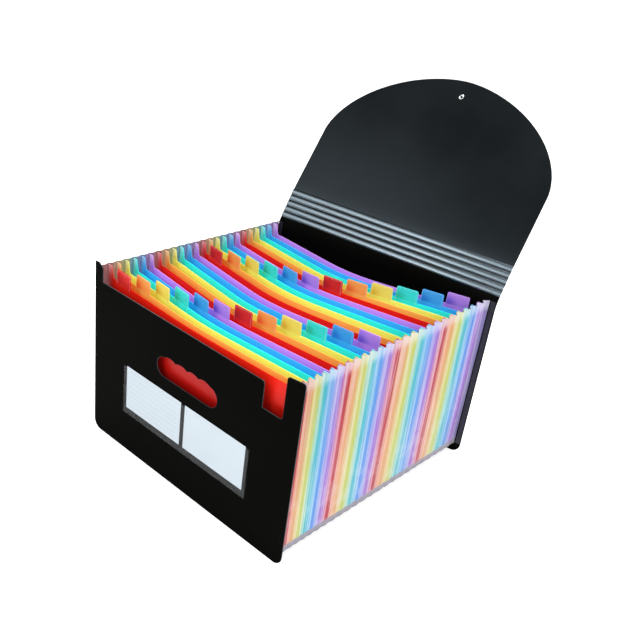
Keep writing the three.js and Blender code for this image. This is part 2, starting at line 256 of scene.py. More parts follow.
def closed_sheet(front: np.ndarray, back: np.ndarray) -> tuple[np.ndarray, list[list[int]], int]:
    """Joins two grids of points, face to face, into one closed thin sheet.

    Args:
        front: rows by columns by 3 points of the front face.
        back: the same for the back face.

    Returns:
        The points, the faces, and how many of the first faces aren't on the rim.
    """
    rows, columns = front.shape[:2]
    points = np.concatenate([front.reshape(-1, 3), back.reshape(-1, 3)])
    shift = rows * columns
    faces = []
    for i in range(rows - 1):
        for j in range(columns - 1):
            a, b = i * columns + j, (i + 1) * columns + j
            faces.append([a, a + 1, b + 1, b])
            faces.append([a + shift, b + shift, b + 1 + shift, a + 1 + shift])
    broad = len(faces)
    border = list(range(columns))
    border += [i * columns + columns - 1 for i in range(1, rows)]
    border += [(rows - 1) * columns + j for j in range(columns - 2, -1, -1)]
    border += [i * columns for i in range(rows - 2, 0, -1)]
    for a, b in zip(border, border[1:] + border[:1]):
        faces.append([b, a, a + shift, b + shift])
    return points, faces, broad


def ring(frame: Matrix, radius: float, height: float, count: int) -> list[tuple[float, ...]]:
    """Returns points on a circle around the z axis of a frame.

    Args:
        frame: where the circle is.
        radius: its radius.
        height: how far up the frame's z axis it is.
        count: how many points it has.

    Returns:
        The points, turning from x to y.
    """
    turns = [2 * math.pi * i / count for i in range(count)]
    return [
        tuple(frame @ Vector((radius * math.cos(turn), radius * math.sin(turn), height)))
        for turn in turns
    ]


def paint(piece: bpy.types.Object, *finishes: bpy.types.Material) -> bpy.types.Object:
    """Gives a piece its materials, in slot order."""
    piece.data.materials.clear()
    for finish in finishes:
        piece.data.materials.append(finish)
    return piece


def settle(piece: bpy.types.Object) -> bpy.types.Object:
    """Turns a piece with live modifiers, or a curve, into a plain mesh of the same name.

    Args:
        piece: the object to settle.

    Returns:
        The new object, at the origin with its place in its mesh.
    """
    bpy.context.view_layer.update()
    graph = bpy.context.evaluated_depsgraph_get()
    mesh = bpy.data.meshes.new_from_object(piece.evaluated_get(graph), depsgraph=graph)
    mesh.transform(piece.matrix_world)
    name = piece.name
    bpy.data.objects.remove(piece)
    mesh.name = name
    return add_object(name, mesh)


def bevel_rim(piece: bpy.types.Object, width: float, above_deg: float = 60.0) -> None:
    """Adds a small live bevel along a sheet's rim.

    Args:
        piece: the sheet.
        width: the bevel's width in millimetres.
        above_deg: edges that turn by more than this are bevelled.
    """
    bevel = piece.modifiers.new("rim", "BEVEL")
    bevel.width = width * MM
    bevel.segments = 2
    bevel.limit_method = "ANGLE"
    bevel.angle_limit = math.radians(above_deg)


# Finishes


class NodeKit:
    """A short way to write a node tree."""

    prefix = "ShaderNode"

    def __init__(self, tree: bpy.types.NodeTree) -> None:
        """Takes over a node tree and empties it.

        Args:
            tree: the tree to write.
        """
        self.tree = tree
        self.tree.nodes.clear()

    def node(self, kind: str, inputs: dict | None = None, **settings: object) -> bpy.types.Node:
        """Adds a node.

        Args:
            kind: its type, without the prefix of this kind of tree. ShaderNode can be
                written out in any tree.
            inputs: values or sockets for its inputs, by name or number.
            settings: its own settings.

        Returns:
            The new node.
        """
        node = self.tree.nodes.new(kind if kind.startswith("ShaderNode") else self.prefix + kind)
        for key, value in settings.items():
            setattr(node, key, value)
        for key, value in (inputs or {}).items():
            self.feed(node.inputs[key], value)
        return node

    def feed(self, socket: bpy.types.NodeSocket, value: object) -> None:
        """Links a socket, or sets its value."""
        if isinstance(value, bpy.types.NodeSocket):
            self.tree.links.new(value, socket)
        elif isinstance(value, tuple) and len(value) == 3 and socket.type == "RGBA":
            socket.default_value = (*value, 1.0)
        else:
            socket.default_value = value

    def maths(self, operation: str, *values: object) -> bpy.types.NodeSocket:
        """Adds one sum, product or comparison and returns its result."""
        return self.node("Math", dict(enumerate(values)), operation=operation).outputs[0]

    def times(self, first: object, second: object) -> bpy.types.NodeSocket:
        """Returns the product of two values."""
        return self.maths("MULTIPLY", first, second)

    def rest(self, value: object) -> bpy.types.NodeSocket:
        """Returns what a value lacks to 1."""
        return self.maths("SUBTRACT", 1.0, value)


class Graph(NodeKit):
    """A short way to write a material."""

    def __init__(self, name: str) -> None:
        """Starts an empty material.

        Args:
            name: the finish's name.
        """
        self.material = bpy.data.materials.new(name)
        self.material.use_nodes = True
        super().__init__(self.material.node_tree)
        self.output = self.node("OutputMaterial")

    def ramp(self, value: object, start: float, end: float) -> bpy.types.NodeSocket:
        """Returns a smooth step from 0 at start to 1 at end."""
        node = self.node(
            "MapRange",
            {"Value": value, "From Min": start, "From Max": end, "To Min": 0.0, "To Max": 1.0},
            interpolation_type="SMOOTHSTEP",
        )
        return node.outputs["Result"]

    def mix(self, share: object, first: object, second: object) -> bpy.types.NodeSocket:
        """Returns a colour between two others."""
        node = self.node("Mix", data_type="RGBA")
        self.feed(node.inputs[0], share)
        self.feed(node.inputs[6], first)
        self.feed(node.inputs[7], second)
        return node.outputs[2]

    def blend(self, share: object, first: object, second: object) -> bpy.types.NodeSocket:
        """Returns a shader between two others."""
        return self.node("MixShader", {0: share, 1: first, 2: second}).outputs[0]

    def place(self) -> bpy.types.bpy_prop_collection:
        """Returns the coordinates "X", "Y" and "Z" of the object, in metres."""
        where = self.node("TexCoord").outputs["Object"]
        return self.node("SeparateXYZ", {0: where}).outputs

    def chart(self, name: str) -> tuple[bpy.types.NodeSocket, bpy.types.NodeSocket]:
        """Returns both coordinates of a map of the surface."""
        split = self.node("SeparateXYZ", {0: self.node("UVMap", uv_map=name).outputs["UV"]})
        return split.outputs["X"], split.outputs["Y"]

    def stored(self, name: str) -> bpy.types.NodeSocket:
        """Returns a colour that is stored with the mesh."""
        return self.node("Attribute", attribute_name=name).outputs["Color"]

    def noise(self, scale: float, detail: float) -> bpy.types.NodeSocket:
        """Returns noise around the middle grey.

        Args:
            scale: its cells in one metre.
            detail: how many finer layers it has.

        Returns:
            The noise, from 0 to 1.
        """
        where = self.node("TexCoord").outputs["Object"]
        node = self.node("TexNoise", {"Vector": where, "Scale": scale, "Detail": detail})
        return node.outputs["Fac"]

    def surface(
        self,
        colour: object,
        roughness: object,
        specular: float,
        grain: tuple[float, float, float],
        more: dict[str, object] | None = None,
    ) -> bpy.types.NodeSocket:
        """Adds a surface with a grain.

        Args:
            colour: its colour.
            roughness: its roughness.
            specular: how strongly it mirrors, where 0.5 is the common strength.
            grain: the grain's cells in one metre, its finer layers and its height in millimetres.
            more: further inputs of the surface by name.

        Returns:
            The surface's shader.
        """
        scale, detail, height = grain
        relief = self.noise(scale, detail)
        bump = self.node("Bump", {"Strength": 1.0, "Distance": height * MM, "Height": relief})
        inputs = {
            "Base Color": colour,
            "Roughness": roughness,
            "Specular IOR Level": specular,
            "Normal": bump.outputs["Normal"],
            **(more or {}),
        }
        return self.node("BsdfPrincipled", inputs).outputs[0]

    def film(
        self, clear: object, shader: bpy.types.NodeSocket, tint: Colour = (0.97, 0.97, 0.98)
    ) -> bpy.types.Material:
        """Finishes the material as a film that is partly clear.

        Args:
            clear: the share of light that goes straight through.
            shader: what the rest of the light meets.
            tint: the linear colour of what goes through.

        Returns:
            The material.
        """
        bare = self.node("BsdfTransparent", {"Color": tint})
        return self.finish(self.blend(clear, shader, bare.outputs[0]))

    def finish(self, shader: bpy.types.NodeSocket) -> bpy.types.Material:
        """Joins the shader to the output and returns the material."""
        self.tree.links.new(shader, self.output.inputs["Surface"])
        return self.material


@dataclass(frozen=True)
class CoverPlastic:
    """Black sheet plastic with a fine matt grain and a faint cloudy variation."""

    name: str
    colour: Colour
    light_colour: Colour
    roughness: float
    specular: float
    ior: float
    sheen: Colour
    unevenness: float = 0.04
    grain: tuple[float, float, float] = (2600.0, 2.0, 0.02)

    def build(self) -> bpy.types.Material:
        """Returns the material."""
        graph = Graph(self.name)
        cloud = graph.noise(9.0, 3.0)
        lighter = graph.ramp(cloud, 0.35, 0.7)
        colour = graph.mix(lighter, linear(self.colour), linear(self.light_colour))
        rough = graph.node(
            "MapRange",
            {
                "Value": cloud,
                "From Min": 0.3,
                "From Max": 0.7,
                "To Min": self.roughness - self.unevenness,
                "To Max": self.roughness + self.unevenness,
            },
        )
        more = {"Specular Tint": self.sheen, "IOR": self.ior}
        rough_out = rough.outputs["Result"]
        return graph.finish(graph.surface(colour, rough_out, self.specular, self.grain, more))


@dataclass(frozen=True)
class DividerPlastic:
    """Coloured satin sheet that lets some light through, with a painted shadow darkest at its tab's
    lower corner and painted shade low in its pocket.

    The map "tab" runs from 0 to 1 across the tab and up it. Places on the sheet are in metres,
    each from where a change starts to where it ends.
    """

    hue: Hue
    roughness: float = 0.36
    specular: float = 0.18
    grain: tuple[float, float, float] = (1500.0, 2.0, 0.012)
    translucency: float = 0.34
    frost: Colour = (232, 234, 238)
    # The corner fields place the painted shadow of the tab in front, and the depths give how much
    # painted shade the tab and the pocket take.
    corner: tuple[float, float] = (0.06, 0.12)
    shadow_flatness: float = 0.75
    shadow_reach: tuple[float, float] = (0.05, 0.62)
    shadow_depth: float = 0.42
    tab_shade_depth: float = 0.26
    wing_start: tuple[float, float] = (0.1475, 0.156)
    wing_fade: tuple[float, float] = (0.205, 0.221)
    pocket_shade_end: tuple[float, float] = (0.15, 0.206)
    pocket_shade_depth: float = 0.8

    def tab_shade(self, graph: Graph) -> bpy.types.NodeSocket:
        """Returns how much painted shade the tab has: an even share over the tab, and most near its
        lower left corner as the painted shadow of the tab in front.

        Args:
            graph: the material's nodes.

        Returns:
            The share, which is 0 outside the tab.
        """
        across, up = graph.chart("tab")
        aside = graph.maths("SUBTRACT", across, self.corner[0])
        above = graph.times(graph.maths("SUBTRACT", up, self.corner[1]), self.shadow_flatness)
        squares = [graph.maths("POWER", way, 2.0) for way in (aside, above)]
        reach = graph.maths("SQRT", graph.maths("ADD", *squares))
        # Painted shadow of the tab in front, fading out from the tab's lower left corner.
        near = graph.rest(graph.ramp(reach, *self.shadow_reach))
        inner = graph.times(graph.ramp(across, -0.02, 0.04), graph.ramp(up, -0.1, 0.08))
        inside = graph.times(inner, graph.rest(graph.ramp(across, 0.97, 1.02)))
        return graph.times(graph.maths("MULTIPLY_ADD", near, self.shadow_depth, self.tab_shade_depth), inside)

    def build(self) -> bpy.types.Material:
        """Returns the material."""
        graph = Graph(f"divider_{self.hue.name.lower()}")
        place = graph.place()
        wing = graph.ramp(graph.maths("ABSOLUTE", place["X"]), *self.wing_start)
        upper = graph.ramp(place["Z"], *self.wing_fade)
        veil = graph.times(wing, graph.maths("MULTIPLY_ADD", upper, 0.4, 0.2))
        # Painted shade: the sheet takes the deeper colour lower down in its pocket.
        pocket_shade = graph.times(graph.rest(graph.ramp(place["Z"], *self.pocket_shade_end)), self.pocket_shade_depth)
        # Painted shade: the stronger of the tab's and the pocket's painted shade sets the colour.
        depth = graph.maths("MAXIMUM", self.tab_shade(graph), pocket_shade)
        shaded_colour = graph.mix(depth, linear(self.hue.lit), linear(self.hue.shade))
        tinted = graph.mix(veil, shaded_colour, linear(self.frost))
        body = graph.surface(tinted, self.roughness, self.specular, self.grain)
        through = graph.node("BsdfTranslucent", {"Color": tinted})
        return graph.finish(graph.blend(self.translucency, body, through.outputs[0]))


@dataclass(frozen=True)
class PleatFilm:
    """Outer face of the frosted film, which shows the divider that is welded in each fold, with a
    painted highlight line beside each fold and painted shade in the valley between two folds.

    The map "fold" holds how far a point is from its fold, from 0 at the fold to 1 between two
    folds, and how strongly the divider's edge shows. The attribute "tint" holds the soft
    colour of the film and "edge" the colour of the divider's edge. Heights are in metres. They
    and the places between two folds are given from where a change starts to where it ends.
    Noise is given by its cells in one metre and its finer layers, and lines by their pitch in
    millimetres and their seed.
    """

    clear: float = 0.1
    tint_share: float = 0.94
    milk: Colour = (240, 242, 244)
    foot: Colour = (162, 158, 172)
    seam: Colour = (104, 100, 112)
    seam_end: tuple[float, float] = (0.0126, 0.0136)
    foot_end: tuple[float, float] = (0.0195, 0.0215)
    top_start: tuple[float, float] = (0.205, 0.217)
    edge_end: tuple[float, float] = (0.3, 0.58)
    glint_start: tuple[float, float] = (0.56, 0.68)
    glint_end: tuple[float, float] = (0.72, 0.84)
    crease_shade_start: tuple[float, float] = (0.9, 0.97)
    crease_shade_share: float = 0.35
    drift: tuple[float, float] = (34.0, 2.0)
    drift_share: float = 0.3
    pale_lines: tuple[float, float] = (1.7, 2.0)
    deep_lines: tuple[float, float] = (2.1, 9.0)
    line_share: float = 0.3
    blotches: tuple[float, float] = (60.0, 4.0)
    blotch_rise: tuple[float, float] = (0.5, 0.66)
    blotches_end: tuple[float, float] = (0.03, 0.12)
    blotch_share: float = 0.2
    roughness: float = 0.32
    specular: float = 0.35
    crumple: tuple[float, float, float] = (90.0, 3.0, 0.3)
    glow: float = 0.3

    @staticmethod
    def streaks(graph: Graph, pitch: float, seed: float) -> bpy.types.NodeSocket:
        """Returns an uneven pattern of fine lines that run down the film.

        Args:
            graph: the material's nodes.
            pitch: about how far apart the lines are, in millimetres.
            seed: chooses the pattern.

        Returns:
            The pattern, from 0 to 1 on a line.
        """
        place = graph.place()
        across = graph.times(place["Y"], 1 / (pitch * MM))
        down = graph.times(place["Z"], 7.0)
        spot = graph.node("CombineXYZ", {"X": across, "Y": down, "Z": seed})
        lines = graph.node("TexNoise", {"Vector": spot.outputs[0], "Scale": 1.0, "Detail": 1.0})
        return graph.ramp(lines.outputs["Fac"], 0.52, 0.66)

    def build(self) -> bpy.types.Material:
        """Returns the material."""
        graph = Graph("pleat_film")
        height = graph.place()["Z"]
        away, strength = graph.chart("fold")
        tint, edge, milk = graph.stored("tint"), graph.stored("edge"), linear(self.milk)
        high = graph.rest(graph.ramp(height, *self.top_start))
        uneven = graph.maths("SUBTRACT", graph.noise(*self.drift), 0.5)
        drift = graph.times(uneven, self.drift_share)
        core = graph.rest(graph.ramp(graph.maths("ADD", away, drift), *self.edge_end))
        shown = graph.times(graph.times(core, strength), high)
        pale = graph.times(graph.maths("MULTIPLY_ADD", high, 0.5, 0.5), self.tint_share)
        film = graph.mix(pale, milk, tint)
        # Painted highlight: a pale line on the film between each fold and the valley.
        past_glint = graph.ramp(away, *self.glint_end)
        glint = graph.times(graph.ramp(away, *self.glint_start), graph.rest(past_glint))
        lined = graph.mix(graph.times(glint, self.line_share), film, milk)
        # Painted shade: the valley between two folds leans towards the divider's darker edge colour.
        crease = graph.times(graph.ramp(away, *self.crease_shade_start), self.crease_shade_share)
        marked = graph.mix(shown, graph.mix(crease, lined, edge), edge)
        pale_lines = graph.times(self.streaks(graph, *self.pale_lines), self.line_share)
        deep_lines = graph.times(self.streaks(graph, *self.deep_lines), self.line_share)
        streaked = graph.mix(deep_lines, graph.mix(pale_lines, marked, milk), edge)
        # Paler blotches on the lowest part of the film, fading out between 3 and 12 cm up.
        above_blotches = graph.times(graph.ramp(height, *self.blotches_end), self.blotch_share)
        blotches = graph.ramp(graph.noise(*self.blotches), *self.blotch_rise)
        blotched_share = graph.times(blotches, graph.maths("SUBTRACT", self.blotch_share, above_blotches))
        blotched = graph.mix(blotched_share, streaked, milk)
        seam = graph.ramp(height, *self.seam_end)
        bottom = graph.mix(seam, linear(self.seam), linear(self.foot))
        colour = graph.mix(graph.ramp(height, *self.foot_end), bottom, blotched)
        skin = graph.surface(colour, self.roughness, self.specular, self.crumple)
        glow = graph.node("BsdfTranslucent", {"Color": colour})
        return graph.film(self.clear, graph.blend(self.glow, skin, glow.outputs[0]))


@dataclass(frozen=True)
class InnerFilm:
    """Inner face of the frosted film, painted darker as the shade inside the pockets."""

    clear: float = 0.12
    shade: Colour = (122, 112, 110)
    tint_share: float = 0.5
    shade_dimming: float = 0.6
    roughness: float = 0.45
    specular: float = 0.2
    grain: tuple[float, float, float] = (900.0, 3.0, 0.03)

    def build(self) -> bpy.types.Material:
        """Returns the material."""
        graph = Graph("inner_film")
        # Painted shade: the divider's edge colour is dimmed and mixed with a dark grey.
        dimmed_edge = graph.node("HueSaturation", {"Value": self.shade_dimming, "Color": graph.stored("edge")})
        colour = graph.mix(self.tint_share, linear(self.shade), dimmed_edge.outputs["Color"])
        skin = graph.surface(colour, self.roughness, self.specular, self.grain)
        return graph.film(self.clear, skin)


@dataclass(frozen=True)
class ClearFilm:
    """Clear glossy film, with a frosted weld along its hem where it has one.

    The map "hem" holds how far a point is from the sides and from the top, in millimetres.
    """

    name: str
    clear: float
    colour: Colour = (236, 240, 244)
    roughness: float = 0.12
    specular: float = 0.5
    hem: float = 0.0
    hem_end: tuple[float, float] = (0.5, 0.9)
    grain: tuple[float, float, float] = (120.0, 2.0, 0.05)

    def build(self) -> bpy.types.Material:
        """Returns the material."""
        graph = Graph(self.name)
        share = self.clear
        if self.hem:
            near = graph.maths("MINIMUM", *graph.chart("hem"))
            frosted = graph.rest(graph.ramp(near, *self.hem_end))
            share = graph.maths("SUBTRACT", self.clear, graph.times(frosted, self.hem))
        skin = graph.surface(linear(self.colour), self.roughness, self.specular, self.grain)
        return graph.film(share, skin, (0.98, 0.98, 0.98))


@dataclass(frozen=True)
class CardStock:
    """Bluish white paper card with a faint fibre."""

    colour: Colour = (200, 211, 219)
    roughness: float = 0.85
    specular: float = 0.2
    grain: tuple[float, float, float] = (900.0, 4.0, 0.02)

    def build(self) -> bpy.types.Material:
        """Returns the material."""
        graph = Graph("card_stock")
        paler = tuple(min(c * 1.03, 255) for c in self.colour)
        colour = graph.mix(graph.noise(700.0, 4.0), linear(self.colour), linear(paler))
        return graph.finish(graph.surface(colour, self.roughness, self.specular, self.grain))


@dataclass(frozen=True)
class PlainInk:
    """Flat printed or moulded colour with a slight mottle."""

    name: str
    colour: Colour
    roughness: float = 0.7

    def build(self) -> bpy.types.Material:
        """Returns the material."""
        graph = Graph(self.name)
        darker = tuple(c * 0.9 for c in self.colour)
        colour = graph.mix(graph.noise(400.0, 2.0), linear(darker), linear(self.colour))
        shader = graph.node("BsdfPrincipled", {"Base Color": colour, "Roughness": self.roughness})
        return graph.finish(shader.outputs[0])


@dataclass(frozen=True)
class NickelPlate:
    """Bright plated metal with a fine grain."""

    colour: Colour = (0.72, 0.73, 0.74)
    roughness: float = 0.22
    specular: float = 0.5
    grain: tuple[float, float, float] = (3000.0, 2.0, 0.01)

    def build(self) -> bpy.types.Material:
        """Returns the material."""
        graph = Graph("nickel_plate")
        more = {"Metallic": 1.0}
        surface = graph.surface(self.colour, self.roughness, self.specular, self.grain, more)
        return graph.finish(surface)


@dataclass(frozen=True)
class StudioFloor:
    """White floor that keeps the folder's shadow and looks white to the camera."""

    lift: float = 0.62
    colour: Colour = (0.82, 0.82, 0.82)

    def build(self) -> bpy.types.Material:
        """Returns the material."""
        graph = Graph("studio_floor")
        matt = graph.node("BsdfDiffuse", {"Color": self.colour})
        glow = graph.node("Emission", {"Color": (1.0, 1.0, 1.0), "Strength": self.lift})
        path = graph.node("LightPath").outputs
        passed_on = graph.maths("MAXIMUM", path["Is Glossy Ray"], path["Is Transmission Ray"])
        seen = graph.maths("MAXIMUM", path["Is Camera Ray"], passed_on)
        lit = graph.node("AddShader", {0: matt.outputs[0], 1: glow.outputs[0]})
        return graph.finish(graph.blend(seen, matt.outputs[0], lit.outputs[0]))


# Sub-assemblies


@dataclass
class FrontCover:
    """The front cover: ears, finger slot and a handle hole with a wavy upper edge."""

    sizes: FolderSizes = SIZES
    left_ear: float = 14.5
    right_ear: float = 24.0
    middle_drop: float = 22.0
    slot_width: float = 28.0
    slot_depth: float = 30.0
    corner: float = 3.5
    slot_drop: float = 2.0
    tip_corner: float = 1.0
    handle_width: float = 99.0
    handle_height: float = 24.5
    handle_bottom: float = 134.5
    fingers: int = 4
    finger_depth: float = 2.6
    rim_bevel: float = 0.22

    @staticmethod
    def arc(
        centre: tuple[float, float], radius: float, start_deg: float, end_deg: float, steps: int = 12
    ) -> list[tuple[float, float]]:
        """Returns points on an arc.

        Args:
            centre: its centre in x and z.
            radius: its radius.
            start_deg: where it starts, counted from +x towards +z.
            end_deg: where it ends.
            steps: how many stretches it has.

        Returns:
            The points, each as x and z.
        """
        turns = np.radians(np.linspace(start_deg, end_deg, steps + 1))
        return [(centre[0] + radius * math.cos(t), centre[1] + radius * math.sin(t)) for t in turns]

    def outline(self) -> list[tuple[float, float]]:
        """Returns the cover's outer edge in x and z."""
        edge, top, foot = self.sizes.cover_width / 2, self.sizes.cover_height, self.sizes.cover_corner
        middle = top - self.middle_drop
        floor = middle - self.slot_depth
        slot_right = edge - self.right_ear
        slot_left = slot_right - self.slot_width
        inner = -edge + self.left_ear
        r = self.corner
        points = self.arc((edge - foot, foot), foot, -90, 0)
        points += self.arc((edge - r, top - r), r, 0, 90)
        points += self.arc((slot_right + r, top - self.slot_drop - r), r, 90, 180)
        points += self.arc((slot_right - r, floor + r), r, 0, -90)
        points += [(slot_left, floor)]
        points += self.arc((slot_left - r, middle - r), r, 0, 90)
        points += [(inner, middle), (inner, top - self.left_ear / 2)]
        knee = self.left_ear / 2
        for t in np.linspace(0.1, 1.0, 10):
            a, b, c = (1 - t) ** 2, 2 * t * (1 - t), t**2
            points.append((
                a * inner + b * inner + c * (inner - knee),
                a * (top - knee) + b * (top - r) + c * top,
            ))
        tip = self.tip_corner
        points += self.arc((-edge + tip, top - tip), tip, 90, 180, 4)
        points += self.arc((-edge + foot, foot), foot, 180, 270)
        return points

    def handle(self) -> list[tuple[float, float]]:
        """Returns the handle hole's edge in x and z."""
        radius = self.handle_height / 2
        straight = self.handle_width / 2 - radius
        top = self.handle_bottom + self.handle_height
        points = [(-straight, self.handle_bottom)]
        points += self.arc((straight, self.handle_bottom + radius), radius, -90, 90, 16)
        pitch = 2 * straight / self.fingers
        for i in range(self.fingers):
            start = straight - i * pitch
            for t in np.linspace(0.125, 1.0, 8):
                rise = 2 * t * (1 - t) * 2 * self.finger_depth
                points.append((start - t * pitch, top + rise))
        points += self.arc((-straight, self.handle_bottom + radius), radius, 90, 270, 16)[1:-1]
        return points

    def build(self, finish: bpy.types.Material, rim: bpy.types.Material) -> bpy.types.Object:
        """Makes the cover as one sheet with softened cut edges.

        Args:
            finish: the faces' material.
            rim: the cut edges' material, a lighter grey that is partly the cut plastic's own tone and
                partly a painted highlight.

        Returns:
            The cover.
        """
        curve = bpy.data.curves.new("front_cover_sheet", "CURVE")
        curve.dimensions = "2D"
        curve.fill_mode = "BOTH"
        curve.extrude = (self.sizes.cover_thickness / 2 - self.rim_bevel) * MM
        curve.bevel_depth = self.rim_bevel * MM
        curve.bevel_resolution = 2
        curve.offset = -self.rim_bevel * MM
        for path in (self.outline(), self.handle()):
            spline = curve.splines.new("POLY")
            spline.points.add(len(path) - 1)
            for point, (x, z) in zip(spline.points, path):
                point.co = (x * MM, z * MM, 0, 1)
            spline.use_cyclic_u = True
        flat = add_object("front_cover_sheet", curve)
        flat.matrix_world = Matrix.Rotation(math.pi / 2, 4, "X")
        piece = settle(flat)
        paint(piece, finish, rim)
        for polygon in piece.data.polygons:
            polygon.material_index = 0 if abs(polygon.normal.y) > 0.99 else 1
        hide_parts("front_cover")
        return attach(piece, Body.FILE.value)


@dataclass
class BackSheet:
    """Back cover, ribbed spine and lid: one continuous sheet that folds at the spine."""

    sizes: FolderSizes = SIZES
    bend_radius: float = 34.0
    spine_height: float = 227.0
    spine_lean: float = math.radians(33)
    ribs: int = 5
    rib_width: float = 8.3
    rib_bulge: float = 0.8
    rib_steps: int = 12
    rib_fullness: float = 1.9
    crease: float = 0.35
    ribs_below_fold: int = 3
    lid_lean: float = math.radians(38)
    lid_side: float = 94.0
    lid_arch: float = 120.0
    arch_power: float = 1.8
    columns: int = 25
    eyelet_from_tip: float = 22.5
    eyelet_hole: float = 2.3
    drill_reach: float = 4.0
    rim_bevel: float = 0.2
    blend_share: float = 0.3
    crease_middle: float = 2.5
    crease_end: float = 5.5

    def spine_point(self, distance: float) -> tuple[float, float]:
        """Returns how far back and up a point of the spine is, in the back cover's frame."""
        start = self.bend_radius * (1 - math.cos(self.spine_lean))
        return (
            start + distance * math.sin(self.spine_lean),
            self.spine_height + distance * math.cos(self.spine_lean),
        )

    def lid_point(self, distance: float) -> tuple[float, float]:
        """Returns how far back and up a point of the lid is, in the back cover's frame."""
        back, up = self.spine_point(self.ribs * self.rib_width)
        return back + distance * math.sin(self.lid_lean), up + distance * math.cos(self.lid_lean)

    def stations(self) -> list[tuple[float, float, float, float]]:
        """Returns back, up, half width and thickness from the foot to the lid's tip."""
        half, foot = self.sizes.cover_width / 2, self.sizes.cover_corner
        full = self.sizes.cover_thickness
        result = []
        for turn in np.linspace(0, math.pi / 2, 13):
            result.append((0.0, foot * (1 - math.cos(turn)), half - foot * (1 - math.sin(turn)), full))
        start = self.spine_height - self.bend_radius * math.sin(self.spine_lean)
        for up in np.linspace(foot, start, 12)[1:-1]:
            result.append((0.0, float(up), half, full))
        for turn in np.linspace(0, self.spine_lean, 10)[:-1]:
            back = self.bend_radius * (1 - math.cos(turn))
            result.append((back, start + self.bend_radius * math.sin(turn), half, full))
        for i in range(self.ribs * self.rib_steps + 1):
            share = (i % self.rib_steps) / self.rib_steps
            back, up = self.spine_point(i * self.rib_width / self.rib_steps)
            swell = abs(math.sin(math.pi * share))
            bulge = self.rib_bulge * swell
            thick = self.crease + (full - self.crease) * min(1.0, swell * self.rib_fullness)
            back -= bulge * math.cos(self.spine_lean)
            up += bulge * math.sin(self.spine_lean)
            result.append((back, up, half, thick))
        result.append((*self.lid_point(self.crease_middle), half, (self.crease + full) / 2))
        result.append((*self.lid_point(self.crease_end), half, full))
        for distance in np.linspace(self.crease_end, self.lid_side, 10)[1:-1]:
            result.append((*self.lid_point(float(distance)), half, full))
        for turn in np.linspace(0, math.pi / 2, 49)[:-1]:
            rise = self.lid_arch * math.sin(turn) ** (2 / self.arch_power)
            reach = half * math.cos(turn) ** (2 / self.arch_power)
            result.append((*self.lid_point(self.lid_side + rise), reach, full))
        return result

    def shell(self) -> tuple[np.ndarray, np.ndarray]:
        """Returns the front and back grids of the sheet, in the row frame."""
        stations = self.stations()
        frame = np.array(self.sizes.back_frame())
        front, rear = [], []
        across = np.linspace(-1, 1, self.columns)
        for i, (back, up, half, thick) in enumerate(stations):
            before, after = stations[max(i - 1, 0)], stations[min(i + 1, len(stations) - 1)]
            run = np.array([after[0] - before[0], after[1] - before[1]])
            run /= np.linalg.norm(run)
            for sign, grid in ((-1, front), (1, rear)):
                y = back + sign * run[1] * thick / 2
                z = up - sign * run[0] * thick / 2
                row = np.stack([across * half, np.full_like(across, y), np.full_like(across, z)], 1)
                grid.append(row @ frame[:3, :3].T + frame[:3, 3])
        return np.array(front), np.array(rear)

    def hinge(self) -> Vector:
        """Returns the fold's middle point, in metres."""
        back, up = self.spine_point(self.ribs_below_fold * self.rib_width)
        return (self.sizes.back_frame() @ Vector((0, back, up))) * MM

    def spine_way(self) -> Vector:
        """Returns the direction up the spine, in the row frame."""
        local = Vector((0, math.sin(self.spine_lean), math.cos(self.spine_lean)))
        return self.sizes.back_frame().to_3x3() @ local

    def eyelet_frame(self) -> Matrix:
        """Returns the eyelet's place, with z square to the lid, in millimetres."""
        back, up = self.lid_point(self.lid_side + self.lid_arch - self.eyelet_from_tip)
        turn = Matrix.Rotation(math.pi / 2 - self.lid_lean, 4, "X")
        return self.sizes.back_frame() @ Matrix.Translation((0, back, up)) @ turn

    def build(
        self,
        finish: bpy.types.Material,
        lid_finish: bpy.types.Material,
        rib_finish: bpy.types.Material,
        rear_finish: bpy.types.Material,
        rim: bpy.types.Material,
    ) -> bpy.types.Object:
        """Makes the sheet, with a hole for the eyelet.

        Args:
            finish: the material of the back cover's inner face.
            lid_finish: the material of the lid's inner face, also used on the creases between ribs as
                painted shade.
            rib_finish: the material of the ribs on the inner face.
            rear_finish: the material of the whole outer face.
            rim: the cut edges' material, a lighter grey that is partly the cut plastic's own tone and
                partly a painted highlight.

        Returns:
            The sheet.
        """
        front, rear = self.shell()
        points, faces, broad = closed_sheet(front, rear)
        piece = mesh_object("back_cover_and_lid", points, faces, 24)
        paint(piece, finish, lid_finish, rib_finish, rim, rear_finish)
        _, on_lid, on_rib, on_rim, on_rear = range(5)
        spine_from = self.spine_height * MM
        lid_from = self.lid_point(0.0)[1] * MM
        for number, polygon in enumerate(piece.data.polygons):
            if number >= broad:
                polygon.material_index = on_rim
            elif number % 2:
                polygon.material_index = on_rear
            elif polygon.center.z > lid_from:
                polygon.material_index = on_lid
            elif polygon.center.z > spine_from:
                # Painted shade: the creases between ribs take the lid's darker, duller finish.
                polygon.material_index = on_lid if self.in_crease(polygon.center) else on_rib
        drill = mesh_object("drill", *self.drill_mesh())
        hole = piece.modifiers.new("eyelet_hole", "BOOLEAN")
        hole.operation = "DIFFERENCE"
        hole.solver = "EXACT"
        hole.object = drill
        bevel_rim(piece, self.rim_bevel)
        sheet = settle(piece)
        bpy.data.objects.remove(drill)
        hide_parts("back_cover", "lid_flap")
        reach = self.spine_way() * (self.blend_share * self.rib_width * MM)
        hinge = self.hinge()
        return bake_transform(sheet)

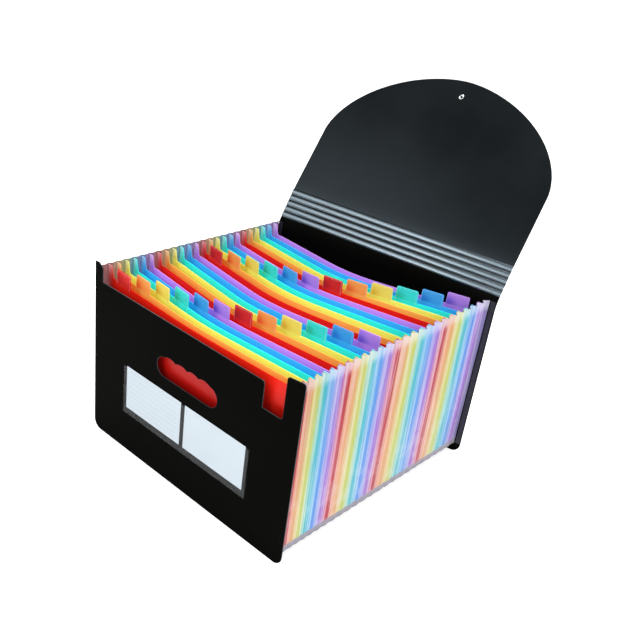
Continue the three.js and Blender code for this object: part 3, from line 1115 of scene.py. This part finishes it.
    def in_crease(self, spot: Vector) -> bool:
        """Tells whether a spot on the spine, in metres, is in a crease between two ribs, which takes
        the lid's darker finish as painted shade.
        """
        local = self.sizes.back_frame().inverted() @ (spot / MM)
        run = (local.z - self.spine_height) / math.cos(self.spine_lean)
        nearest = round(run / self.rib_width) * self.rib_width
        return abs(run - nearest) < self.rib_width / self.rib_steps

    def drill_mesh(self) -> tuple[np.ndarray, list[list[int]]]:
        """Returns a plain round bar through the eyelet's place."""
        count = 32
        frame = self.eyelet_frame()
        points = []
        for height in (-self.drill_reach, self.drill_reach):
            points += ring(frame, self.eyelet_hole, height, count)
        faces = [[i, (i + 1) % count, count + (i + 1) % count, count + i] for i in range(count)]
        faces += [list(range(count))[::-1], list(range(count, 2 * count))]
        return np.array(points), faces


@dataclass
class Eyelet:
    """A plated eyelet: a rolled flange on each face of the lid and a bore between."""

    bore: float = 1.5
    barrel: float = 2.0
    flange: float = 3.6
    seat: float = 0.62
    crown: float = 0.62
    around: int = 48
    # The plug fields size the dark plug in the bore, painted shade for the hole.
    plug_play: float = 0.12
    plug_below: float = 0.9
    plug_above: float = 0.5
    plug_power: float = 0.6

    def build(self, frame: Matrix, finish: bpy.types.Material) -> bpy.types.Object:
        """Makes the eyelet.

        Args:
            frame: its place, with z square to the lid, in millimetres.
            finish: its material.

        Returns:
            The eyelet.
        """
        roll = []
        middle = (self.bore + self.flange) / 2
        radius = (self.flange - self.bore) / 2
        for turn in np.linspace(0, math.pi, 13):
            roll.append((middle + radius * math.cos(turn), self.seat + self.crown * math.sin(turn)))
        profile = [(self.flange, self.seat), *roll, (self.bore, -self.seat)]
        profile += [(r, -h) for r, h in reversed(roll)]
        profile += [(self.barrel, -self.seat), (self.barrel, self.seat)]
        points, faces = [], []
        for i in range(self.around):
            turn = 2 * math.pi * i / self.around
            for r, h in profile:
                points.append(tuple(frame @ Vector((r * math.cos(turn), r * math.sin(turn), h))))
        count = len(profile)
        for i in range(self.around):
            for j in range(count):
                a, b = i * count, ((i + 1) % self.around) * count
                faces.append([a + j, a + (j + 1) % count, b + (j + 1) % count, b + j])
        piece = mesh_object("eyelet_ring", np.array(points), faces, 50)
        paint(piece, finish)
        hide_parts("eyelet")
        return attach(piece, Body.LID.value)

    def shade_plug(self, frame: Matrix, finish: bpy.types.Material) -> bpy.types.Object:
        """Makes the dark plug that fills the bore, as painted shade inside the hole.

        Args:
            frame: the eyelet's place, with z square to the lid, in millimetres.
            finish: the plug's material.

        Returns:
            The knot.
        """
        rings, around = 10, 20
        radius = self.bore - self.plug_play
        low, high = -self.seat - self.plug_below, self.seat + self.plug_above
        points, faces = [], []
        for i in range(rings + 1):
            turn = math.pi * i / rings
            across = radius * math.sin(turn) ** self.plug_power
            up = (low + high) / 2 - (high - low) / 2 * math.cos(turn)
            points += ring(frame, across, up, around)
        for i in range(rings):
            for j in range(around):
                a, b = i * around + j, i * around + (j + 1) % around
                faces.append([a, b, b + around, a + around])
        piece = mesh_object("shade_plug", np.array(points), faces, 60)
        paint(piece, finish)
        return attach(piece, Body.LID.value)


@dataclass
class PleatedFilm:
    """The film bellows: side walls and bottom in soft pleats, deeper towards the top."""

    sizes: FolderSizes = SIZES
    thickness: float = 0.4
    low_depth: float = 0.5
    left_depth: float = 1.6
    right_depth: float = 5.0
    depth_power: float = 1.3
    roundness: float = 0.35
    steps: int = 8
    wall_rows: int = 14
    floor_columns: int = 16
    edge_strength: float = 0.78
    red_strength: float = 1.0
    dusk: Colour = (112, 108, 168)

    def depth(self, height: float, top_depth: float) -> float:
        """Returns how deep the pleats of a wall are at a height."""
        rise = (height - self.sizes.foot) / (self.sizes.bellows_top - self.sizes.foot)
        return self.low_depth + (top_depth - self.low_depth) * max(rise, 0.0) ** self.depth_power

    def outline(self, fold: float, reach: float) -> list[tuple[float, float]]:
        """Returns one U of points in x and z, from the left top to the right top.

        Args:
            fold: 0 on an outer fold and 1 on an inner one.
            reach: how far to move the U inwards.

        Returns:
            The points.
        """
        half = self.sizes.half_width
        bottom = self.sizes.foot + fold * self.low_depth + reach
        heights = [float(z) for z in np.linspace(self.sizes.bellows_top, bottom, self.wall_rows)]
        left, right = (
            [(half - fold * self.depth(z, top) - reach, z) for z in heights]
            for top in (self.left_depth, self.right_depth)
        )
        spans = np.linspace(-left[-1][0], right[-1][0], self.floor_columns)
        floor = [(float(x), bottom) for x in spans[1:-1]]
        return [(-x, z) for x, z in left] + floor + right[::-1]

    def build(
        self,
        finish: bpy.types.Material,
        inner: bpy.types.Material,
        rim: bpy.types.Material,
        hues: Sequence[Hue],
    ) -> bpy.types.Object:
        """Makes the film, with each fold tinted like its divider.

        Args:
            finish: the outer face's material.
            inner: the inner face's material.
            rim: the material of the film's upper edge.
            hues: the dividers' colours, from the front.

        Returns:
            The film.
        """
        count = self.steps * self.sizes.pockets
        grids, shares = [], []
        for reach in (0.0, self.thickness):
            rows = []
            for i in range(count + 1):
                share = i / count
                smooth = (1 - math.cos(2 * math.pi * (i % self.steps) / self.steps)) / 2
                pointed = 1 - abs(1 - 2 * (i % self.steps) / self.steps)
                fold = self.roundness * smooth + (1 - self.roundness) * pointed
                path = self.outline(fold, reach)
                rows.append([(x, self.sizes.place(share, x), z) for x, z in path])
                shares += [share * self.sizes.pockets] * len(path)
            grids.append(np.array(rows))
        points, faces, broad = closed_sheet(grids[0], grids[1])
        piece = mesh_object("pleated_film", points, faces, 60)
        self.colour(piece, shares, hues)
        paint(piece, finish, inner, rim)
        for number, polygon in enumerate(piece.data.polygons):
            if number >= broad:
                polygon.material_index = 2
            else:
                polygon.material_index = number % 2
        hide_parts("bellows")
        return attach(piece, Body.FILE.value)

    def colour(self, piece: bpy.types.Object, shares: Sequence[float], hues: Sequence[Hue]) -> None:
        """Stores the film's colours and each point's place between two folds.

        Args:
            piece: the film.
            shares: how many pockets each vertex is behind the front.
            hues: the dividers' colours, from the front.
        """
        last = self.sizes.dividers
        dusk = linear(self.dusk)
        tint = piece.data.color_attributes.new("tint", "FLOAT_COLOR", "POINT")
        edge = piece.data.color_attributes.new("edge", "FLOAT_COLOR", "CORNER")
        for vertex, share in enumerate(shares):
            below = min(max(math.floor(share), 1), last)
            above = min(below + 1, last)
            across = min(max(share - below, 0.0), 1.0)
            first = linear(hues[(below - 1) % len(hues)].haze)
            second = linear(hues[(above - 1) % len(hues)].haze) if below < last else dusk
            mixed = [a + (b - a) * across for a, b in zip(first, second)]
            tint.data[vertex].color = (*mixed, 1.0)
        layer = piece.data.uv_layers.new(name="fold")
        for polygon in piece.data.polygons:
            corners = [shares[v] for v in polygon.vertices]
            fold = round(sum(corners) / len(corners))
            covered = 1 <= fold <= last
            number = min(max(fold, 1), last)
            hue = hues[(number - 1) % len(hues)]
            shown = self.red_strength if hue is Hue.RED else self.edge_strength
            strength = shown if covered else 0.0
            for loop, share in zip(polygon.loop_indices, corners):
                edge.data[loop].color = (*linear(hue.filmed), 1.0)
                layer.data[loop].uv = (2 * abs(share - fold), strength)


class GeometryTree(NodeKit):
    """A geometry node tree with named inputs that is applied to one object."""

    prefix = "GeometryNode"

    def __init__(self, name: str, inputs: dict[str, float | int]) -> None:
        """Starts a tree.

        Args:
            name: the tree's name.
            inputs: the named inputs and the values that this use gives them.
        """
        super().__init__(bpy.data.node_groups.new(name, "GeometryNodeTree"))
        face = self.tree.interface
        face.new_socket("Geometry", in_out="INPUT", socket_type="NodeSocketGeometry")
        face.new_socket("Geometry", in_out="OUTPUT", socket_type="NodeSocketGeometry")
        self.settings = {}
        for label, value in inputs.items():
            kind = "NodeSocketInt" if isinstance(value, int) else "NodeSocketFloat"
            socket = face.new_socket(label, in_out="INPUT", socket_type=kind)
            self.settings[socket.identifier] = value
        self.start = self.tree.nodes.new("NodeGroupInput")
        self.end = self.tree.nodes.new("NodeGroupOutput")

    def value(self, label: str) -> bpy.types.NodeSocket:
        """Returns a named input's socket."""
        return self.start.outputs[label]

    def apply(
        self, base: bpy.types.Object, result: bpy.types.NodeSocket, finish: bpy.types.Material
    ) -> bpy.types.Object:
        """Ends the tree, runs it on an object and settles the result.

        Args:
            base: the object that the tree works on.
            result: the geometry to put out.
            finish: the material to set.

        Returns:
            The plain mesh object.
        """
        real = self.node("RealizeInstances", {"Geometry": result})
        painted = self.node("SetMaterial", {"Geometry": real.outputs[0], "Material": finish})
        self.tree.links.new(painted.outputs[0], self.end.inputs[0])
        run = base.modifiers.new(self.tree.name, "NODES")
        run.node_group = self.tree
        for identifier, value in self.settings.items():
            run[identifier] = value
        return settle(base)


@dataclass
class Dividers:
    """Twenty-four coloured dividers with a tab each, bowed towards the front."""

    sizes: FolderSizes = SIZES
    thickness: float = 0.5
    top: float = 221.0
    bottom: float = 23.0
    ear_slope: float = 4.5
    ear_shift: float = 5.0
    ear_power: float = 1.5
    row: int = 12
    tab_width: float = 27.0
    tab_margin: float = 0.7
    tab_rise: float = 15.0
    tab_corner: float = 1.9
    side_slope: float = 0.4
    edge_inset: float = 1.6
    side_step: float = 2.0
    tab_clear: float = 1.0
    pitch: float = 3.2
    levels: tuple[float, ...] = (0.0, 0.06, 0.2, 0.4, 0.6, 0.8, 0.92, 1.0)
    sleeve_gaps: tuple[float, float] = (0.75, 0.55)
    sleeve_inset: float = 0.8
    sleeve_below: float = 3.5
    sleeve_short: float = 0.6
    hues: tuple[Hue, ...] = tuple(Hue)

    def hue(self, index: int) -> Hue:
        """Returns a divider's colour."""
        return self.hues[(index - 1) % len(self.hues)]

    def tab_left(self, index: int) -> float:
        """Returns where a divider's tab starts."""
        step = (index - 1) % self.row
        room = 2 * (self.sizes.ear_end - self.tab_margin) - self.tab_width
        return -self.sizes.ear_end + self.tab_margin + step * room / (self.row - 1)

    def columns(self, index: int) -> list[tuple[float, float]]:
        """Returns x and the top height for each column of a divider."""
        ear, edge = self.sizes.ear_end, self.sizes.divider_edge
        side = self.sizes.half_width - self.edge_inset
        left = self.tab_left(index)
        right = left + self.tab_width
        top = edge + self.tab_rise
        r = self.tab_corner
        result = []
        drop = self.top - edge
        for share in np.linspace(0, 1, 9):
            eased = (1 - math.cos(math.pi * share)) / 2
            rise = drop * (1 - eased) ** self.ear_power
            corner = ear + self.ear_shift + self.ear_slope * (1 - share)
            result += [(-corner, edge + rise), (corner, edge + rise)]
        for x in (-side, -side + self.side_step):
            result += [(x, self.top), (-x, self.top)]
        for turn in np.linspace(0, math.pi / 2, 6):
            inward = r * (1 - math.cos(turn))
            rise = top - r * (1 - math.sin(turn))
            result.append((left + self.side_slope + inward, rise))
            result.append((right - self.side_slope - inward, rise))
        result += [(left, edge), (right, edge)]
        steps = int(2 * ear / self.pitch)
        for x in np.linspace(-ear, ear, steps)[1:-1]:
            if x < left - self.tab_clear or x > right + self.tab_clear:
                result.append((float(x), edge))
            elif left + r + self.tab_clear < x < right - r - self.tab_clear:
                result.append((float(x), top))
        return sorted(result)

    def build(self, index: int, finish: bpy.types.Material) -> bpy.types.Object:
        """Makes one divider.

        Args:
            index: its number, from 1 at the front.
            finish: its material.

        Returns:
            The divider.
        """
        front, rear = [], []
        columns = self.columns(index)
        for share in self.levels:
            rows: tuple[list, list] = ([], [])
            for x, top in columns:
                z = self.bottom + (top - self.bottom) * share
                y = self.sizes.divider_place(index, x, z)
                rows[0].append((x, y - self.thickness / 2, z))
                rows[1].append((x, y + self.thickness / 2, z))
            front.append(rows[0])
            rear.append(rows[1])
        points, faces, _ = closed_sheet(np.array(front), np.array(rear))
        name = f"divider_sheet_{index:02d}"
        piece = mesh_object(name, points, faces, 40)
        layer = piece.data.uv_layers.new(name="tab")
        left = self.tab_left(index)
        for loop in piece.data.loops:
            spot = piece.data.vertices[loop.vertex_index].co / MM
            layer.data[loop.index].uv = (
                (spot.x - left) / self.tab_width,
                (spot.z - self.sizes.divider_edge) / self.tab_rise,
            )
        paint(piece, finish)
        f"{self.hue(index).name.lower()}_film"
        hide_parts(f"divider_{index:02d}")
        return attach(piece, Body.FILE.value)

    def sleeves(self, finish: bpy.types.Material) -> bpy.types.Object:
        """Makes the clear label sleeve on each tab, as one piece.

        Args:
            finish: the sleeves' material.

        Returns:
            The sleeves.
        """
        points, faces, hems = np.empty((0, 3)), [], []
        low = self.sizes.divider_edge - self.sleeve_below
        high = self.sizes.divider_edge + self.tab_rise - self.sleeve_short
        for index in range(1, self.sizes.dividers + 1):
            left = self.tab_left(index) + self.sleeve_inset
            right = left + self.tab_width - 2 * self.sleeve_inset
            grids: tuple[list, list] = ([], [])
            for z in np.linspace(low, high, 5):
                for grid, gap in zip(grids, self.sleeve_gaps):
                    offset = self.thickness / 2 + gap
                    grid.append([
                        (x, self.sizes.divider_place(index, x, z) - offset, z)
                        for x in np.linspace(left, right, 9)
                    ])
            these, those, _ = closed_sheet(np.array(grids[0]), np.array(grids[1]))
            faces += [[n + len(points) for n in face] for face in those]
            points = np.concatenate([points, these])
            hems += [(min(x - left, right - x), high - z) for x, _, z in these]
        piece = mesh_object("tab_sleeves", points, faces, 40)
        layer = piece.data.uv_layers.new(name="hem")
        for loop in piece.data.loops:
            layer.data[loop.index].uv = hems[loop.vertex_index]
        paint(piece, finish)
        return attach(piece, Body.FILE.value)


@dataclass
class LabelPocket:
    """The finishes of the front cover's clear pocket and cards, and the left card's lines."""

    sizes: FolderSizes = SIZES
    centre: float = -1.8
    card_width: float = 96.0
    card_offset: float = 51.35
    card_bottom: float = 61.3
    line_pitch: float = 6.5
    line_width: float = 0.35
    line_depth: float = 0.03
    line_proud: float = 0.02
    line_margin: float = 6.0
    first_line: float = 5.5
    lines: int = 8
    card_thickness: float = 0.3

    def dress(self, film: bpy.types.Material, card: bpy.types.Material, nodes: dict) -> None:
        """Gives the CAD pocket and cards their materials.

        Args:
            film: the pocket's material.
            card: the cards' material.
            nodes: the CAD nodes by name.
        """
        paint(nodes["label_pocket"], film)
        paint(nodes["label_card_left"], card)
        paint(nodes["label_card_right"], card)

    def ruled_lines(self, finish: bpy.types.Material) -> bpy.types.Object:
        """Makes the faint ruled lines on the left card, repeated by geometry nodes.

        Args:
            finish: the lines' material.

        Returns:
            The lines, as one piece.
        """
        front = -(self.sizes.front_seat + self.card_thickness) - self.line_proud
        first = (self.centre - self.card_offset, front, self.card_bottom + self.first_line)
        base = add_object("ruled_lines", bpy.data.meshes.new("ruled_lines"))
        tree = GeometryTree(
            "rule_card",
            {
                "Lines": self.lines,
                "Line Pitch": self.line_pitch * MM,
                "Line Length": (self.card_width - 2 * self.line_margin) * MM,
                "Line Width": self.line_width * MM,
                "Line Depth": self.line_depth * MM,
            },
        )
        size = tree.node(
            "ShaderNodeCombineXYZ",
            {0: tree.value("Line Length"), 1: tree.value("Line Depth"), 2: tree.value("Line Width")},
        )
        bar = tree.node("MeshCube", {"Size": size.outputs[0]})
        step = tree.node("ShaderNodeCombineXYZ", {2: tree.value("Line Pitch")})
        row = tree.node(
            "MeshLine",
            {
                "Count": tree.value("Lines"),
                "Start Location": tuple(n * MM for n in first),
                "Offset": step.outputs[0],
            },
        )
        copies = tree.node("InstanceOnPoints", {"Points": row.outputs[0], "Instance": bar.outputs[0]})
        piece = tree.apply(base, copies.outputs[0], finish)
        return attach(piece, Body.FILE.value)


@dataclass
class WeldStrips:
    """Knurled weld marks where the film is joined to the inside of the back cover."""

    sizes: FolderSizes = SIZES
    pitch: float = 2.2
    knob: float = 0.6
    proud: float = 0.22
    hem: float = 0.1
    hem_sink: float = 0.04
    hem_below: float = 3.0
    hem_above: float = 18.0
    outset: float = 1.6
    width: float = 6.4
    columns: int = 2
    low: float = 16.0
    high: float = 204.0

    def flange(
        self, name: str, frame: Matrix, x: float, finish: bpy.types.Material
    ) -> bpy.types.Object:
        """Makes the flat hem of film under one strip of knobs.

        Args:
            name: the hem's name.
            frame: the cover's frame, with y square to it, in millimetres.
            x: where the hem's middle is along the cover.
            finish: the hem's material.

        Returns:
            The hem.
        """
        half = self.width / 2
        rows = []
        for y in (-self.hem, self.hem_sink):
            rows.append([
                [tuple(frame @ Vector((x + side, y, z))) for side in (-half, half)]
                for z in np.linspace(self.low - self.hem_below, self.high + self.hem_above, 12)
            ])
        points, faces, _ = closed_sheet(np.array(rows[0]), np.array(rows[1]))
        piece = mesh_object(name, points, faces, 40)
        paint(piece, finish)
        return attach(piece, Body.FILE.value)

    def build(self, name: str, frame: Matrix, x: float, finish: bpy.types.Material) -> bpy.types.Object:
        """Makes one strip of small knobs on a grid, by geometry nodes.

        Args:
            name: the strip's name.
            frame: the cover's frame, with y square to it, in millimetres.
            x: where the strip's middle is along the cover.
            finish: the knobs' material.

        Returns:
            The strip.
        """
        base = add_object(name, bpy.data.meshes.new(name))
        rows = int((self.high - self.low) / self.pitch)
        tree = GeometryTree(
            f"{name}_knurl",
            {
                "Rows": rows,
                "Columns": self.columns,
                "Strip Width": (self.columns - 1) * self.pitch * MM,
                "Strip Length": (rows - 1) * self.pitch * MM,
                "Knob Radius": self.knob * MM,
            },
        )
        grid = tree.node(
            "MeshGrid",
            {
                "Size X": tree.value("Strip Width"),
                "Size Y": tree.value("Strip Length"),
                "Vertices X": tree.value("Columns"),
                "Vertices Y": tree.value("Rows"),
            },
        )
        radius = tree.value("Knob Radius")
        ball = tree.node("MeshUVSphere", {"Segments": 8, "Rings": 5, "Radius": radius})
        flat = tree.node(
            "Transform", {"Geometry": ball.outputs[0], "Scale": (1.0, 1.0, self.proud / self.knob)}
        )
        copies = tree.node("InstanceOnPoints", {"Points": grid.outputs[0], "Instance": flat.outputs[0]})
        stand = Matrix.Rotation(math.pi / 2, 4, "X")
        middle = (self.low + self.high) / 2
        place = frame @ Matrix.Translation((x, 0, middle)) @ stand
        place.translation *= MM
        base.matrix_world = place
        piece = tree.apply(base, copies.outputs[0], finish)
        piece.data.shade_smooth()
        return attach(piece, Body.FILE.value)


# Studio


@dataclass
class Studio:
    """Camera, lamps, floor and backdrop, in metres, with the lens in millimetres.

    Each lamp has a name, a place, its size and its power in watts. The world is white where the
    camera sees it, gives less light than that, and looks darker still in a reflection.
    """

    eye: tuple[float, float, float] = (0.5829, -0.5244, 0.6286)
    lens: float = 47.507
    shift_up: float = 0.05
    right: tuple[float, float, float] = (0.735426, 0.664636, 0.131943)
    down: tuple[float, float, float] = (0.409766, -0.281138, -0.867786)
    forward: tuple[float, float, float] = (-0.539668, 0.692258, -0.479101)
    aim: tuple[float, float, float] = (0.0, 0.16, 0.14)
    world_shown: float = 1.0
    world_light: float = 0.5
    world_mirrored: float = 0.15
    floor_reach: float = 30.0
    floor_sink: float = 0.00005
    lamps: list[tuple[str, tuple[float, float, float], tuple[float, float], float]] = field(
        default_factory=lambda: [
            ("key", (-0.6, -1.8, 1.2), (0.6, 0.6), 5.0),
            ("side", (2.1, -0.6, 1.2), (1.6, 1.6), 34.0),
            ("top", (0.2, 0.7, 2.4), (1.2, 1.2), 72.0),
            ("sheen", (-0.65, -1.1, 1.35), (1.2, 0.95), 10.5),
        ]
    )

    def camera(self) -> None:
        """Sets up the camera where the photograph was taken from."""
        data = bpy.data.cameras.new("camera")
        data.lens = self.lens
        data.sensor_width = 36.0
        data.shift_y = self.shift_up
        data.clip_start = 0.01
        data.clip_end = 50.0
        eye = add_object("camera", data)
        axes = Matrix((Vector(self.right), -Vector(self.down), -Vector(self.forward)))
        eye.matrix_world = Matrix.Translation(self.eye) @ axes.transposed().to_4x4()
        bpy.context.scene.camera = eye

    def lights(self) -> None:
        """Sets up the soft lamps."""
        for name, spot, size, power in self.lamps:
            lamp = bpy.data.lights.new(name, "AREA")
            lamp.shape = "RECTANGLE"
            lamp.size, lamp.size_y = size
            lamp.energy = power
            stand = add_object(name, lamp)
            stand.location = spot
            way = Vector(self.aim) - Vector(spot)
            stand.rotation_euler = way.to_track_quat("-Z", "Y").to_euler()

    def world(self) -> None:
        """Sets up the white world."""
        world = bpy.data.worlds.new("studio")
        bpy.context.scene.world = world
        world.use_nodes = True
        kit = NodeKit(world.node_tree)
        path = kit.node("LightPath").outputs
        seen = kit.maths("MAXIMUM", path["Is Camera Ray"], path["Is Transmission Ray"])
        levels = [
            kit.node("MapRange", {"Value": share, "To Min": off, "To Max": on}).outputs["Result"]
            for share, off, on in (
                (seen, self.world_light, self.world_shown),
                (path["Is Glossy Ray"], 1.0, self.world_mirrored),
            )
        ]
        back = kit.node("Background", {"Color": (1.0, 1.0, 1.0), "Strength": kit.times(*levels)})
        kit.node("OutputWorld", {"Surface": back.outputs[0]})

    def floor(self) -> None:
        """Lays the floor."""
        reach = self.floor_reach / MM
        square = [(-reach, -reach, 0), (reach, -reach, 0), (reach, reach, 0), (-reach, reach, 0)]
        points = np.array(square) - np.array([0, 0, self.floor_sink / MM])
        ground = mesh_object("floor", points, [[0, 1, 2, 3]])
        paint(ground, StudioFloor().build())

    def build(self) -> None:
        """Sets up everything around the folder."""
        self.camera()
        self.lights()
        self.world()
        self.floor()
        bpy.context.scene.view_settings.view_transform = "Standard"


def main() -> None:
    """Builds the folder around the CAD frame and reports each piece."""
    logging.basicConfig(level=logging.INFO, format="%(name)s: %(message)s")
    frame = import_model()
    neutral, cool = (1.0, 1.0, 1.0), (0.7, 0.88, 1.0)
    black, lid, rib, rear = (
        CoverPlastic(name, dark, light, roughness, specular, ior, sheen).build()
        for name, dark, light, roughness, specular, ior, sheen in (
            ("cover_black", (5, 5, 4), (8, 8, 7), 0.6, 0.1, 1.12, neutral),
            ("lid_grey_black", (5, 6, 7), (8, 9, 11), 0.32, 0.34, 1.5, cool),
            ("rib_grey_black", (8, 10, 12), (12, 15, 18), 0.3, 0.75, 2.2, cool),
            ("cover_rear_black", (6, 6, 6), (9, 9, 9), 0.5, 0.16, 1.36, neutral),
        )
    )
    # The cut edges are a lighter grey: partly the cut plastic's own tone, partly a painted highlight
    # where the edge catches light.
    lit_cut_edge = PlainInk("lit_cut_edge", (44, 44, 46), 0.5).build()
    pocket_film = ClearFilm("pocket_film", 0.97, roughness=0.2, specular=0.3).build()
    sleeve_film = ClearFilm("sleeve_film", 0.992, roughness=0.3, specular=0.08, hem=0.1).build()
    film_edge = PlainInk("film_edge", (128, 130, 140), 0.5).build()
    dividers = Dividers()

    back, eyelet = BackSheet(), Eyelet()
    # A dark plug in the eyelet's bore is painted shade for the hole.
    plug_finish = PlainInk("shade_plug_black", (12, 13, 15)).build()
    pieces = [
        FrontCover().build(black, lit_cut_edge),
        back.build(black, lid, rib, rear, lit_cut_edge),
        eyelet.build(back.eyelet_frame(), NickelPlate().build()),
        eyelet.shade_plug(back.eyelet_frame(), plug_finish),
        PleatedFilm().build(PleatFilm().build(), InnerFilm().build(), film_edge, dividers.hues),
    ]
    finishes = {hue: DividerPlastic(hue).build() for hue in Hue}
    for index in range(1, SIZES.dividers + 1):
        pieces.append(dividers.build(index, finishes[dividers.hue(index)]))
    pieces.append(dividers.sleeves(sleeve_film))
    pocket = LabelPocket()
    pocket.dress(pocket_film, CardStock().build(), frame["nodes"])
    pieces.append(pocket.ruled_lines(PlainInk("rule_grey", (176, 187, 196)).build()))
    weld = WeldStrips()
    inner = SIZES.cover_thickness / 2
    back_frame = SIZES.back_frame() @ Matrix.Translation((0, -inner, 0))
    edge = SIZES.half_width + weld.outset
    weld_finish = PlainInk("weld_navy", (50, 54, 84), 0.5).build()
    hem_finish = PlainInk("hem_navy", (15, 16, 28), 0.55).build()
    for side, x in (("right", edge), ("left", -edge)):
        pieces.append(weld.flange(f"hem_back_{side}", back_frame, x, hem_finish))
        pieces.append(weld.build(f"weld_back_{side}", back_frame, x, weld_finish))
    for piece in pieces:
        LOG.info("%s: %d faces", piece.name, len(piece.data.polygons))
    Studio().build()


if __name__ == "__main__":
    main()
